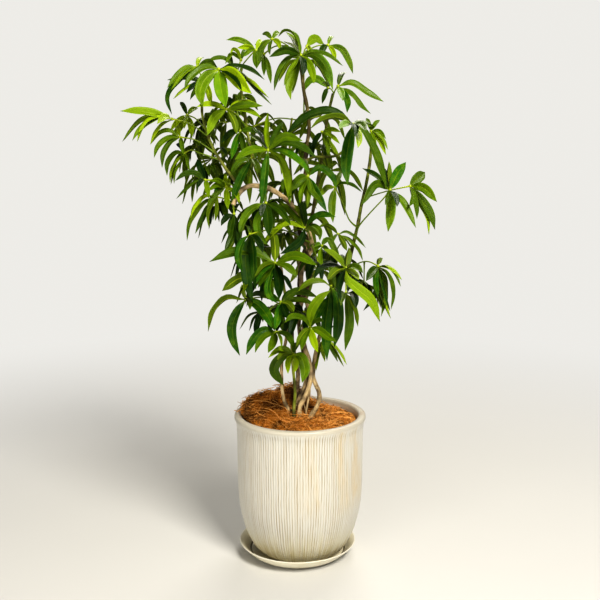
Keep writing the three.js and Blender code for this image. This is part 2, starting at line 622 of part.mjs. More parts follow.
// A steady value from -1 to 1 for each pair of whole numbers, so that every build is alike.
function vary(first, second) {
  const wave = Math.sin(first * 12.9898 + second * 78.233) * 43758.5453;
  return 2 * (wave - Math.floor(wave)) - 1;
}

function across(vector, along) {
  return vector.clone().addScaledVector(along, -vector.dot(along)).normalize();
}

// ---- Closed meshes ----
// A BufferGeometry from rings of points and an end point on each side, facing outwards.
function loft(start, rings, end) {
  const sides = rings[0].length;
  const points = [start, ...rings.flat(), end];
  const last = points.length - 1;
  const index = [];
  for (let side = 0; side < sides; side += 1) {
    const next = (side + 1) % sides;
    index.push(0, 1 + next, 1 + side);
    for (let ring = 0; ring + 1 < rings.length; ring += 1) {
      const low = 1 + ring * sides;
      const high = low + sides;
      index.push(low + side, low + next, high + next);
      index.push(low + side, high + next, high + side);
    }
    const top = 1 + (rings.length - 1) * sides;
    index.push(top + side, top + next, last);
  }
  const geometry = new THREE.BufferGeometry().setFromPoints(points);
  geometry.setIndex(index);
  return signedVolume(points, index) < 0 ? turnedInsideOut(geometry) : geometry;
}

function signedVolume(points, index) {
  let volume = 0;
  for (let at = 0; at < index.length; at += 3) {
    const [a, b, c] = [points[index[at]], points[index[at + 1]], points[index[at + 2]]];
    volume += a.dot(b.clone().cross(c));
  }
  return volume;
}

function turnedInsideOut(geometry) {
  const index = Array.from(geometry.index.array);
  for (let at = 0; at < index.length; at += 3) {
    [index[at + 1], index[at + 2]] = [index[at + 2], index[at + 1]];
  }
  geometry.setIndex(index);
  return geometry;
}

function lathe(profile, segments, close) {
  const outline = profile.map(([radius, height]) => new THREE.Vector2(radius, height));
  if (close) outline.push(outline[0].clone());
  return new THREE.LatheGeometry(outline, segments).rotateX(Math.PI / 2);
}

// ---- Solids for joining and cutting ----
function solidFrom(geometry) {
  const bare = geometry.clone();
  bare.deleteAttribute("normal");
  bare.deleteAttribute("uv");
  const merged = mergeVertices(bare, 1e-4);
  return new wasm.Manifold(
    new wasm.Mesh({
      numProp: 3,
      vertProperties: new Float32Array(merged.attributes.position.array),
      triVerts: new Uint32Array(merged.index.array),
    }),
  );
}

function geometryFrom(solid) {
  const mesh = solid.getMesh();
  const geometry = new THREE.BufferGeometry();
  geometry.setAttribute("position", new THREE.BufferAttribute(new Float32Array(mesh.vertProperties), 3));
  geometry.setIndex(new THREE.BufferAttribute(new Uint32Array(mesh.triVerts), 1));
  return geometry;
}

function largestBody(solid) {
  const bodies = solid.decompose();
  return bodies.reduce((best, body) => (body.volume() > best.volume() ? body : best));
}

function boxOf(solid) {
  const box = solid.boundingBox();
  return new THREE.Box3(new THREE.Vector3(...box.min), new THREE.Vector3(...box.max));
}

// ---- Stems ----
function tubeRings(points, radii, sides) {
  const rings = [];
  let guide = new THREE.Vector3(1, 0.3, 0.1).normalize();
  points.forEach((point, at) => {
    const before = points[Math.max(0, at - 1)];
    const after = points[Math.min(points.length - 1, at + 1)];
    const along = after.clone().sub(before).normalize();
    guide = across(guide, along);
    const side = along.clone().cross(guide);
    const ring = [];
    for (let corner = 0; corner < sides; corner += 1) {
      const angle = (2 * Math.PI * corner) / sides;
      ring.push(
        point
          .clone()
          .addScaledVector(guide, radii[at] * Math.cos(angle))
          .addScaledVector(side, radii[at] * Math.sin(angle)),
      );
    }
    rings.push(ring);
  });
  return rings;
}

function tube(points, radii, sides, extra = 0) {
  const first = points[0].clone().addScaledVector(points[1].clone().sub(points[0]).normalize(), -0.4 - extra);
  const last = points[points.length - 1];
  const finish = last.clone().addScaledVector(last.clone().sub(points[points.length - 2]).normalize(), 1 + extra);
  return loft(first, tubeRings(points, radii.map((radius) => radius + extra), sides), finish);
}

function stemCurve(stem) {
  const points = stem.path.map(([x, y, depth]) => fromView([x, y], depth));
  if (stem.rooted) {
    const foot = points[0];
    points.unshift(new THREE.Vector3(foot.x * 0.85 + 1, foot.y * 0.9, STEM_FOOT_Z));
  }
  return new THREE.CatmullRomCurve3(points);
}

function stemTube(stem, curve, extra) {
  const steps = Math.max(4, Math.round(curve.getLength() / STEM_STEP));
  const points = curve.getSpacedPoints(steps);
  const radii = points.map((point, at) => {
    const share = at / steps;
    return stem.radius[0] * (1 - share) + stem.radius[1] * share;
  });
  return solidFrom(tube(points, radii, STEM_SIDES, extra));
}

// ---- Leaves ----
// The tip's depth follows from the leaflet's true length and the length that the view shows.
function midrib(leaf, leaflet, nudge) {
  const [, tone, ...numbers] = leaflet;
  const hub = fromView(leaf.hub, leaf.hub[2]);
  const stops = [[leaf.hub[0], leaf.hub[1]]];
  for (let at = 0; at < numbers.length; at += 2) stops.push([numbers[at], numbers[at + 1]]);
  const reached = [0];
  for (let at = 1; at < stops.length; at += 1) {
    const step = Math.hypot(stops[at][0] - stops[at - 1][0], stops[at][1] - stops[at - 1][1]);
    reached.push(reached[at - 1] + step * viewScale(hub));
  }
  const shown = reached[reached.length - 1];
  const hidden = Math.sqrt(Math.max(0, leaf.reach ** 2 - shown ** 2)) * 0.8;
  const depth = (tone.includes("back") ? hidden : -hidden) + nudge;
  const points = stops.map((stop, at) => fromView(stop, leaf.hub[2] + (depth * reached[at]) / shown));
  if (points.length === 2) {
    const middle = points[0].clone().lerp(points[1], 0.5);
    middle.z += BLADE_ARCH * points[0].distanceTo(points[1]);
    points.splice(1, 0, middle);
  }
  return new THREE.CatmullRomCurve3(points);
}

// The blade's upper side is turned so that its visible width is right and it faces the guide most.
function bladeNormal(point, along, guide, shownWidth, trueWidth, underside) {
  const facing = across(EYE.clone().sub(point), along);
  const sideways = along.clone().cross(facing);
  const turn = Math.acos(Math.min(1, shownWidth / trueWidth));
  const choices = [turn, -turn].map((angle) =>
    facing.clone().multiplyScalar(Math.cos(angle)).addScaledVector(sideways, Math.sin(angle)),
  );
  if (underside) choices.forEach((choice) => choice.negate());
  return choices[0].dot(guide) > choices[1].dot(guide) ? choices[0] : choices[1];
}

// One normal, turned towards the wanted one by no more than a blade may twist.
function turnedTowards(before, wanted, along) {
  const angle = Math.atan2(along.dot(before.clone().cross(wanted)), before.dot(wanted));
  return before.clone().applyAxisAngle(along, THREE.MathUtils.clamp(angle, -MOST_TWIST, MOST_TWIST));
}

// Both stations stand square to the stretch between them, so that its upper side stays nearly flat.
function blade(curve, width, normalAt, extra) {
  const stations = BLADE_STATIONS.map((share) => curve.getPointAt(share));
  const along = stations[1].clone().sub(stations[0]).normalize();
  let before = null;
  const rings = stations.map((point, at) => {
    let normal = normalAt(point, along, before);
    if (before) normal = turnedTowards(before, normal, along);
    before = normal;
    const side = along.clone().cross(normal);
    const half = (width / 2) * BLADE_ROUNDING[at] + extra;
    return [
      point.clone().addScaledVector(side, half).addScaledVector(normal, extra),
      point.clone().addScaledVector(side, -half).addScaledVector(normal, extra),
      point.clone().addScaledVector(normal, -BLADE_THICKNESS - 2 * extra),
    ];
  });
  const end = curve.getPointAt(1);
  if (extra) end.addScaledVector(curve.getTangentAt(1), 2 * extra);
  return solidFrom(loft(curve.getPointAt(0), rings, end));
}

function outwardOf(hub) {
  return new THREE.Vector3(hub.x / 260, hub.y / 220, 0.85).normalize();
}

function viewBlade(leaf, leaflet, nudge, extra) {
  const [shownWidth, tone] = leaflet;
  const curve = midrib(leaf, leaflet, nudge);
  const trueWidth = Math.max(shownWidth, BLADE_ASPECT * curve.getLength());
  const outward = outwardOf(fromView(leaf.hub, leaf.hub[2]));
  const normalAt = (point, along, before) =>
    bladeNormal(point, along, before ?? outward, shownWidth, trueWidth, tone.includes("olive"));
  return blade(curve, trueWidth, normalAt, extra);
}

function spreadBlade(leaf, order, nudge, extra) {
  const hub = fromView(leaf.hub, leaf.hub[2]);
  const outward = outwardOf(hub);
  const first = across(new THREE.Vector3(1, 0, 0), outward);
  const second = outward.clone().cross(first);
  const seed = leaf.hub[0] + leaf.hub[1];
  const angle = (2 * Math.PI * (order + 0.35 * vary(seed, order))) / leaf.count;
  const away = first.multiplyScalar(Math.cos(angle)).addScaledVector(second, Math.sin(angle));
  const length = leaf.reach * (0.86 + 0.14 * vary(order, seed));
  const droop = 0.5 + 0.2 * vary(seed, order + 9);
  const middle = hub.clone().addScaledVector(away, 0.52 * length).addScaledVector(outward, 0.05 * length);
  const tip = hub.clone().addScaledVector(away, 0.88 * length);
  middle.z -= 0.12 * droop * length + 0.5 * nudge;
  tip.z -= droop * length + nudge;
  const curve = new THREE.CatmullRomCurve3([hub, middle, tip]);
  return blade(curve, 0.17 * length, (point, along) => across(outward, along), extra);
}

// The stalk leaves the stem a little below the hub and arches up into it.
function stalkPoints(leaf, start, bulge) {
  const hub = fromView(leaf.hub, leaf.hub[2]);
  const points = [start];
  if (leaf.stalk) {
    leaf.stalk.forEach((stop, at) => {
      const share = (at + 0.6) / (leaf.stalk.length + 0.6);
      points.push(fromView(stop, start.y + (hub.y - start.y) * share));
    });
  } else {
    const middle = start.clone().lerp(hub, 0.55);
    middle.z += 0.1 * start.distanceTo(hub);
    middle.x += bulge[0];
    middle.y += bulge[1];
    points.push(middle);
  }
  points.push(hub);
  return new THREE.CatmullRomCurve3(points).getSpacedPoints(PETIOLE_RINGS);
}

function stalkStart(curve, hub) {
  let best = null;
  let least = Infinity;
  curve.getSpacedPoints(120).forEach((point) => {
    const cost = point.distanceTo(hub) + 1.2 * Math.max(0, point.z - hub.z + PETIOLE_RISE);
    if (cost < least) {
      least = cost;
      best = point;
    }
  });
  return best;
}

function stalkSolid(points, extra) {
  return solidFrom(tube(points, points.map(() => PETIOLE_RADIUS), PETIOLE_SIDES, extra));
}

function hubSolid(centre, extra) {
  const knob = new THREE.OctahedronGeometry(HUB_RADIUS + extra);
  return solidFrom(knob.translate(centre.x, centre.y, centre.z));
}

// ---- Materials ----
function finish(colour, roughness) {
  return new THREE.MeshStandardMaterial({ color: colour, roughness, metalness: 0 });
}
const LEAF_GREENS = ["#3f6b12", "#4d7d16", "#5f8f1c", "#34600f", "#6f9a24"];

// ---- Building the plant ----
const plant = new THREE.Group();
plant.name = "potted_umbrella_plant";

function addPiece(name, geometry, material) {
  const mesh = new THREE.Mesh(geometry, material);
  mesh.name = name;
  plant.add(mesh);
  return mesh;
}

// Each placed solid: its node, its part of the node, the solid and the same shape a little fatter.
const placed = [];
function place(node, solid, fat) {
  placed.push({ node, solid, fat, box: boxOf(fat) });
}

function clashes(node, solid) {
  const box = boxOf(solid);
  return placed.filter((other) => other.node !== node && other.box.intersectsBox(box));
}

function clashVolume(node, solid) {
  let total = 0;
  for (const other of clashes(node, solid)) total += solid.intersect(other.solid).volume();
  return total;
}

// Of several shapes of one piece, the first that is clear of its neighbours, or else the clearest.
function clearest(node, choices, shapeOf) {
  let best = choices[0];
  let least = Infinity;
  for (const choice of choices) {
    const volume = clashVolume(node, shapeOf(choice));
    if (volume < least - 1e-6) {
      least = volume;
      best = choice;
    }
    if (volume <= 1e-6) break;
  }
  return best;
}

const stemCurves = {};
const stemSolids = {};
for (const stem of STEMS) {
  const curve = stemCurve(stem);
  stemCurves[stem.node] = curve;
  let solid = stemTube(stem, curve, 0);
  for (const other of placed) solid = solid.subtract(other.fat);
  solid = largestBody(solid);
  stemSolids[stem.node] = solid;
  place(stem.node, solid, stemTube(stem, curve, SEAT_GAP));
}

// Leaf stalks and hubs come before any leaflet, so that every leaf stays joined to its stem.
const wholeLeaves = [...LEAVES, ...BACK_LEAVES, ...INNER_LEAVES];
const leafParts = {};
const BULGES = [[0, 0], [9, 0], [-9, 0], [0, 9], [0, -9], [16, 8], [-16, 8], [16, -8], [-16, -8], [0, 20], [0, -20]];
const shootStarts = {};
for (const leaf of wholeLeaves) {
  const hub = fromView(leaf.hub, leaf.hub[2]);
  const start = leaf.joins ? shootStarts[leaf.node] : stalkStart(stemCurves[leaf.stem], hub);
  const clearOfOthers = (bulge) => stalkSolid(stalkPoints(leaf, start, bulge).slice(1), SEAT_GAP);
  const bulge = leaf.stalk ? BULGES[0] : clearest(leaf.node, BULGES, clearOfOthers);
  const points = stalkPoints(leaf, start, bulge);
  if (!leaf.joins) shootStarts[leaf.node] = points[2].clone();
  leafParts[leaf.node] ??= [];
  leafParts[leaf.node].push(stalkSolid(points, 0), hubSolid(hub, 0));
  place(leaf.node, stalkSolid(points, 0), stalkSolid(points, SEAT_GAP));
  place(leaf.node, hubSolid(hub, 0), hubSolid(hub, SEAT_GAP));
}

for (const leaf of wholeLeaves) {
  const count = leaf.leaflets ? leaf.leaflets.length : leaf.count;
  for (let order = 0; order < count; order += 1) {
    const shape = (nudge, extra) =>
      leaf.leaflets
        ? viewBlade(leaf, leaf.leaflets[order], nudge, extra)
        : spreadBlade(leaf, order, nudge, extra);
    const nudge = clearest(leaf.node, NUDGES, (choice) => shape(choice, SEAT_GAP));
    const solid = shape(nudge, 0);
    leafParts[leaf.node].push(solid);
    place(leaf.node, solid, shape(nudge, SEAT_GAP));
  }
}

// Where two leaves still meet, the one listed later is cut back around the other.
const finished = new Set(STEMS.map((stem) => stem.node));
const leafSolids = {};
for (const [node, parts] of Object.entries(leafParts)) {
  let solid = parts.reduce((whole, part) => whole.add(part));
  const box = boxOf(solid);
  for (const other of placed) {
    if (finished.has(other.node) && other.box.intersectsBox(box)) solid = solid.subtract(other.fat);
  }
  leafSolids[node] = largestBody(solid);
  finished.add(node);
}

// The pot, its saucer and what fills it.
const saucer = addPiece("saucer", lathe(SAUCER_PROFILE, SAUCER_SEGMENTS, false), finish("#dcd6bd", 0.35));
saucer.position.set(0, 0, 0);

const potGeometry = lathe(POT_PROFILE, POT_SEGMENTS, true);
const potPoints = potGeometry.attributes.position;
for (let at = 0; at < potPoints.count; at += 1) {
  const x = potPoints.getX(at);
  const y = potPoints.getY(at);
  const z = potPoints.getZ(at);
  const radius = Math.hypot(x, y);
  const outside = radius > 83 + 0.14 * Math.min(z, 180) && z > RIBS_FROM_Z && z < RIBS_TO_Z;
  const edge = Math.round((Math.atan2(y, x) / (2 * Math.PI)) * POT_SEGMENTS + POT_SEGMENTS);
  const shift = outside ? (edge % 2 === 0 ? RIB_HEIGHT : -RIB_HEIGHT) : 0;
  potPoints.setXY(at, (x * (radius + shift)) / radius, (y * (radius + shift)) / radius);
}
const pot = addPiece("pot", potGeometry, finish("#e8e2d0", 0.45));
pot.position.set(POT_AXIS_X, 0, 0);

function withoutStems(solid) {
  let rest = solid;
  for (const stem of STEMS) {
    if (stem.rooted) rest = rest.subtract(stemTube(stem, stemCurves[stem.node], SEAT_GAP));
  }
  return largestBody(rest);
}

const soilGeometry = lathe(SOIL_PROFILE, SOIL_SEGMENTS, false).translate(POT_AXIS_X, 0, 0);
addPiece("potting_soil", geometryFrom(withoutStems(solidFrom(soilGeometry))), finish("#4a3424", 0.95));

function mulchHeight(x, y) {
  let height = MULCH_BED_Z;
  for (const heap of MULCH_HEAPS) {
    const away = ((x - heap.x) / heap.spreadX) ** 2 + ((y - heap.y) / heap.spreadY) ** 2;
    height += heap.height * Math.exp(-away / 2);
  }
  return height;
}

const mulchProfile = [[0, MULCH_BOTTOM_Z], [MULCH_RADIUS, MULCH_BOTTOM_Z], [MULCH_RADIUS, MULCH_BED_Z]];
MULCH_RING_RADII.forEach((radius) => mulchProfile.push([radius, MULCH_BED_Z]));
mulchProfile.push([0, MULCH_BED_Z]);
const mulchGeometry = lathe(mulchProfile, SOIL_SEGMENTS, false);
const mulchPoints = mulchGeometry.attributes.position;
for (let at = 0; at < mulchPoints.count; at += 1) {
  const x = mulchPoints.getX(at);
  const y = mulchPoints.getY(at);
  if (mulchPoints.getZ(at) > MULCH_BED_Z - 1) {
    const edge = Math.hypot(x, y) > MULCH_RADIUS - 1 ? MULCH_EDGE_DROP : 0;
    mulchPoints.setZ(at, mulchHeight(x, y) - edge);
  }
}
mulchGeometry.translate(POT_AXIS_X, 0, 0);
addPiece("coir_mulch", geometryFrom(withoutStems(solidFrom(mulchGeometry))), finish("#b9702f", 0.95));

// Stems and leaves.
const STEM_COLOURS = {
  stem_main: "#8a7350",
  stem_twist: "#a3875f",
  stem_pale: "#b3a07c",
  stem_green: "#7d8f3a",
  stem_brown: "#7a5f3f",
  stem_right: "#94835d",
};
for (const stem of STEMS) {
  const colour = STEM_COLOURS[stem.node] ?? "#80764a";
  addPiece(stem.node, geometryFrom(stemSolids[stem.node]), finish(colour, 0.8));
}
Object.entries(leafSolids).forEach(([node, solid], order) => {
  const colour = LEAF_GREENS[order % LEAF_GREENS.length];
  addPiece(node, geometryFrom(solid), finish(colour, 0.45));
});

export default plant;
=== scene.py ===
"""A potted umbrella plant: glazed pot and saucer, coir mulch, twisted stems and compound leaves.

Metres, +Z up, with the plant's front towards -Y. Stems and leaves are listed by their place in the front
view and their depth in millimetres, as in the CAD model, and every piece lies where its CAD node lies.
"""

import json
import math

import bmesh
import bpy
from bpy.props import FloatProperty, FloatVectorProperty, IntProperty, PointerProperty
from bpy.types import Operator, Panel, PropertyGroup
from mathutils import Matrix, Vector, noise

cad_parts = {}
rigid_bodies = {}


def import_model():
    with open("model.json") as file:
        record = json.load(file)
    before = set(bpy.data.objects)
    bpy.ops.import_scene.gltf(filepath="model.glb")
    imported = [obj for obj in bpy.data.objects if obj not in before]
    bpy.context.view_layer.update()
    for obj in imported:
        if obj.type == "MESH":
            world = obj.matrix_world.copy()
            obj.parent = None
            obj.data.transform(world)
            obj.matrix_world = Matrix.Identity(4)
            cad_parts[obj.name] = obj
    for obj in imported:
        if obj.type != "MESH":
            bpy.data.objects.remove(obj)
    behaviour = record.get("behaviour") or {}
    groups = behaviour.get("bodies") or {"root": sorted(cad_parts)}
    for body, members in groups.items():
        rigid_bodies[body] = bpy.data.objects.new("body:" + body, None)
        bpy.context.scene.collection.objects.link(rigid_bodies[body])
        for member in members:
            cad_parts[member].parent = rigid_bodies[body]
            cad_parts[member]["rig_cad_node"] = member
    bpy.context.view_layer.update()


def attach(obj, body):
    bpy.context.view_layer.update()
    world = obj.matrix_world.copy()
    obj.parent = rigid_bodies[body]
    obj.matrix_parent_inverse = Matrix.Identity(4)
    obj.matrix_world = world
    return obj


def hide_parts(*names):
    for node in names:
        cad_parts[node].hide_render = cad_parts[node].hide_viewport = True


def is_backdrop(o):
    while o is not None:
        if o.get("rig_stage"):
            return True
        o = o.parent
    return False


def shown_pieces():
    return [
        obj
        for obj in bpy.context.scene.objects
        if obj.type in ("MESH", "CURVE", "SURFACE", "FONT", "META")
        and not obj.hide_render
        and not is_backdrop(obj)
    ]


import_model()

bl_info = {
    "name": "Potted umbrella plant",
    "version": (1, 0, 0),
    "blender": (4, 5, 0),
    "location": "3D View > Sidebar > Umbrella plant",
    "description": "Builds the pot, the saucer, the coir mulch, the stems and the leaves of a potted plant",
    "category": "Object",
}

MM = 0.001

# ---- The front view that positions are listed in: x to the right and y down, in steps of the view ----
VIEW_PLACE = Vector((4.8, -1670, 777))  # millimetres
VIEW_PITCH = math.radians(9.5)
VIEW_FOCAL = 905
VIEW_CENTRE = 300
VIEW_SENSOR = 36  # millimetres across the whole view

# ---- The pot and the saucer ----
POT_AXIS_X = 4.8  # millimetres to the right of the saucer's axis
POT_SIDES = 1200
SAUCER_SIDES = 240
COAT_ROUGHNESS = 0.1

# Half profiles as radius and height, in millimetres.
SAUCER_FOOT = [(0, 0), (60, 0), (79, 0), (80.6, 0.5)]
SAUCER_OUTSIDE = [(80.6, 0.5), (89, 5), (101, 15), (108.6, 22.8), (112.3, 26.6), (112.5, 27.6), (111.6, 28)]
SAUCER_INSIDE = [(111.6, 28), (109.4, 26.9), (103, 21.6), (96.4, 14.2), (93, 10.6), (91.4, 7.6)]
SAUCER_FLOOR = [(91.4, 7.6), (90.2, 6.2), (88.8, 7.4), (86.8, 7.7), (82, 6.6), (70, 6), (0, 6)]
POT_FOOT = [(12, 6.3), (60, 6.3), (68, 6.5)]
POT_OUTSIDE = [
    (68, 6.5), (77, 10.5), (84.4, 16.5), (92.5, 27), (99.2, 40.5), (105, 54), (109.2, 69), (112.8, 83),
    (115.6, 97), (117.8, 116), (119, 140), (119.5, 170), (119.6, 200), (119.7, 232), (120, 250),
    (120.6, 261), (122.2, 267), (125, 272.5),
]
POT_LIP = [
    (125, 272.5), (125, 275.5), (124.2, 278.4), (121, 279.4),
    (116.5, 279.6), (113, 279), (111.2, 277.4), (110.4, 274.5),
]
POT_INSIDE = [(110.4, 274.5), (109.6, 262), (108.4, 200), (106, 100), (86, 34), (66, 21), (12, 21)]
RIB_TOP = 0.274  # metres: above it the wall is plain

# ---- The mulch, in millimetres: a bed with heaps (x and y from the pot's axis, rise, two spreads) ----
MULCH_BOTTOM_Z = 235.4
MULCH_BED_Z = 262
MULCH_RADIUS = 108
MULCH_EDGE_DROP = 9
MULCH_HEAPS = [(-40, 52, 27, 50, 42), (-84, -2, 25, 36, 55), (-14, 62, 22, 18, 26), (2, -6, 8, 34, 28)]
# The darkness behind the stems' feet is a painted shadow; the lowering is real.
MULCH_HOLLOW = (9, 20)  # behind the stems' feet the mulch is dark and a little lower
MULCH_HOLLOW_DEPTH = 10
MULCH_HOLLOW_SPREAD = 13
MULCH_RINGS = 40
MULCH_SIDES = 150
MULCH_EDGE = 0.86  # the share of the radius from which the mulch falls to its edge
MULCH_SINK = 3.5  # how far the solid body lies below the loose fibres
MULCH_LUMPS = ((5.0, 17, 0), (3.0, 6, 50))  # height, spacing and level of each layer of lumps

# ---- Stems, in millimetres ----
STEM_FOOT_Z = 214
STEM_STEPS = 90
ROOT_FLARE = 0.45  # how much wider a stem is where it enters the mulch, as a share of its radius
ROOT_FLARE_LENGTH = 22
ROOT_STEPS = 10
ROOT_SPREAD = (13, 4)  # how far a root runs from its stem, and how much that varies
SIDE_ROOT_STEPS = 20
SIDE_ROOTS = {  # roots above the mulch: the radius at both ends, and the path, listed as a stem's is
    "stem_twist": (
        (2.5, 1.6),
        [[309, 382, -15], [309.5, 392, -17], [308, 401, -18], [306.5, 410, -18], [306, 418, -15]],
    ),
    "stem_main": ((1.3, 0.8), [[302, 397, -13], [304, 404, -16], [305.5, 411, -17], [305.5, 418, -15]]),
}
STEM_LOOKS = {  # paleness and greenness at the foot, then at the tip
    "stem_main": (0.45, 0.0, 0.0, 0.45),
    "stem_twist": (0.75, 0.0, 0.95, 0.0),
    "stem_pale": (0.85, 0.0, 0.4, 0.6),
    "stem_green": (0.4, 0.7, 0.3, 1.0),
    "stem_brown": (0.3, 0.0, 0.15, 0.7),
    "stem_right": (0.8, 0.0, 0.2, 1.0),
    "branch_right": (0.3, 0.6, 0.3, 1.0),
    "branch_upper_left": (0.3, 0.5, 0.3, 1.0),
    "branch_far_left": (0.4, 0.5, 0.3, 1.0),
    "branch_back": (0.3, 0.4, 0.3, 1.0),
}
GREEN_STEMS = ("stem_green", "branch_upper_left", "branch_far_left", "branch_back")

# ---- Leaf stalks, in millimetres ----
STEM_PLACES = 120  # places along a stem at which a stalk may start
PETIOLE_RISE = 30  # how far below its hub a stalk should start
FORK_RISE = 12  # how far below its first listed stop a stalk with stops should start
HIGH_START_COST = 1.2  # how much each millimetre that a start lies too high counts against it
STALK_STATIONS = 9
STALK_LEAD = 0.6  # how far along the stalk its first listed stop comes, in steps between stops
STALK_MIDDLE = 0.55  # how far along a stalk with no listed stop its raised middle lies
STALK_ARCH = 0.1  # how far that middle rises, as a share of the stalk's length
STALK_RADIUS = 1.15
STALK_FOOT = 1.0  # how much thicker the stalk is at its foot
STALK_TIP = 0.6  # and at the hub

# ---- Leaflets: shares are of a leaflet's length unless they say otherwise ----
CURVE_STEPS = 14  # fine steps between two stops before a path is evened out
BLADE_STATIONS = 13
BLADE_ARCH = 0.1
BLADE_ASPECT = 0.155  # least width
BLADE_FULLNESS = 1.06  # how much wider a leaflet is than its CAD blade, which keeps its width further along
INNER_FULLNESS = 1.4  # the same for the leaves inside the crown
HIDDEN_SHARE = 0.8  # how much of the length that the view hides goes into depth
ANCHOR_STATION = 4  # where along the blade its turn is set; it turns a little more towards both ends
MOST_TWIST = 0.05  # radians between two stations
CROWN_SPREAD = (260, 220)  # millimetres from the axis at which a whorl faces well sideways
CROWN_RISE = 0.85
WHORL_TURN = 0.35  # how far a leaflet of a whole whorl strays, as a share of the step between two
WHORL_LENGTH = (0.86, 0.14)  # usual length as a share of the reach, and its variation
WHORL_DROOP = (0.5, 0.2)  # how far the tip sinks, and its variation
WHORL_MIDDLE = (0.52, 0.05, 0.12)  # how far out and up the middle is, and its share of the droop
WHORL_TIP = 0.88  # how far out the tip is
WHORL_WIDTH = 0.085  # half a leaflet's width
SMALL_BLADE = (0.68, 0.5, 0.2)  # a small leaflet between two: size, turn in steps and further droop
BLADE_OUTLINE = [  # place along the blade, and half width as a share of the widest
    (0.0, 0.14), (0.04, 0.15), (0.075, 0.25), (0.12, 0.47), (0.2, 0.75), (0.3, 0.93), (0.41, 1.0),
    (0.54, 1.0), (0.66, 0.93), (0.78, 0.72), (0.88, 0.4), (0.95, 0.16), (1.0, 0.0),
]
# A tone paints light and shade as well as a leaflet's own green: leaflets in shade get dark tones, lit ones
# light tones.
TONES = {  # how light the green is, and its sheen: grey-green above 0, blue-green below
    "deep": (-0.1, 0.0), "dark": (0.1, 0.0), "dim": (0.3, 0.0), "mid": (0.5, 0.0), "light": (0.7, 0.0),
    "bright": (1.0, 0.0), "pale": (0.5, 0.9), "olive": (0.4, 0.0), "teal": (0.5, -1.0), "blue": (0.3, -1.0),
}
BACK_TONES = ("mid", "dark", "mid", "bright")
# Inner whorls get dark tones: painted shade deep in the crown.
INNER_PAINTED_SHADE_TONES = ("deep", "dim", "deep", "dark")

# ---- The stage, in metres ----
FLOOR_SIDES = 128
FLOOR_GRAIN = 0.97  # brightness of the floor's darker grain, as a share of the floor's
LIGHT_AIM = Vector((0, 0, 0.55))
LIGHT_COLOUR = (1.0, 0.955, 0.87)
LIGHTS = {  # place and width
    "key": ((1.1, -2.1, 2.5), 1.0),
    "fill": ((-1.4, -2.4, 0.6), 1.6),
    "back": ((0.5, 2.0, 2.3), 1.4),
}

# ---- The plant ----
# Stems and branches: node, whether it roots in the soil, radius at the foot and at the tip, and the path
# as view x, view y and depth.
STEM_ROWS = [
    ("stem_main", True, [4.4, 3], [
        [293, 411, -8], [297, 403, -6], [302, 393, -4], [306, 381, 0], [306, 365, 4], [302, 345, 8],
        [299, 325, 6], [301, 305, 0], [307, 288, -6], [311, 268, -6], [305, 247, 0], [299, 228, 4],
        [300, 210, 4], [302, 190, 2], [306, 168, 0], [306, 150, 0], [309, 130, 0], [308, 112, 0],
        [304, 92, -2], [302, 74, -8], [301, 60, -18],
    ]),
    ("stem_twist", True, [4.2, 4.4], [
        [300, 407, -18], [305, 397, -16], [308.5, 388, -14], [311, 376, -14], [309, 360, -12],
        [304, 345, -12], [304, 326, -14], [308, 308, -16], [302, 290, 8], [302, 268, 10], [311, 249, 10],
        [309, 233, -8], [297, 214, -16], [289, 202, -20], [279, 194, -26], [268, 188, -32],
        [258, 186, -37], [249, 186, -41], [240, 192, -46], [233, 205, -52],
    ]),
    ("stem_pale", True, [3.4, 2.4], [
        [289, 412, -14], [284, 400, -16], [282, 388, -14], [281.5, 375, -10], [282, 360, -6],
        [286, 340, 0], [288, 320, 8], [286, 300, 12], [283, 282, 12], [280, 262, 8], [276, 245, 0],
        [271, 228, -10], [268, 214, -26], [266, 206, -44],
    ]),
    ("stem_green", True, [3, 2.2], [
        [294, 409, -26], [295, 395, -27], [294.5, 383, -26], [293, 368, -24], [292, 352, -22],
        [291, 335, -22], [288, 318, -24], [286, 300, -30], [283, 284, -42], [279, 272, -64],
    ]),
    ("stem_brown", True, [4, 2.6], [
        [297, 404, 6], [297, 392, 10], [298, 372, 14], [294, 352, 20], [292, 332, 24], [296, 312, 26],
        [299, 290, 30], [300, 268, 32], [305, 248, 34], [310, 228, 36], [314, 205, 40], [318, 180, 42],
        [322, 158, 42], [325, 140, 40], [327, 120, 36], [331, 102, 28], [333, 94, 20],
    ]),
    ("stem_right", True, [4.4, 2.6], [
        [311, 416, -20], [315, 410, -20], [319, 401, -20], [319, 392, -18], [316, 385, -14],
        [313, 376, -4], [314, 364, -2], [316, 352, -2], [320, 335, 0], [326, 318, 4], [334, 300, 6],
        [342, 282, 4], [349, 263, 0], [352, 249, -4], [357.6, 226, -8], [361, 207, -10], [365, 190, -12],
        [369, 168, -14], [371, 150, -14], [371, 139, -12],
    ]),
    ("branch_right", False, [2.6, 1.9], [
        [306, 161, 0], [314, 157, -6], [325, 157, -14], [338, 155, -26], [347, 146, -40], [351, 135, -58],
    ]),
    ("branch_upper_left", False, [3.2, 2], [
        [264, 187, -34], [257, 172, -26], [252, 155, -18], [248, 135, -8], [245, 115, 0], [242, 95, 6],
        [240, 80, 6], [242, 68, 2],
    ]),
    ("branch_far_left", False, [3, 1.9], [
        [242, 190, -45], [232, 177, -38], [222, 163, -28], [213, 148, -18], [206, 130, -8], [202, 112, 0],
        [203, 97, 10], [205, 89, 22],
    ]),
    ("branch_back", False, [3.2, 2], [
        [296, 312, 26], [301, 296, 52], [300, 275, 82], [297, 250, 102], [294, 220, 112], [292, 190, 112],
        [290, 160, 104], [290, 134, 92], [292, 118, 84],
    ]),
]
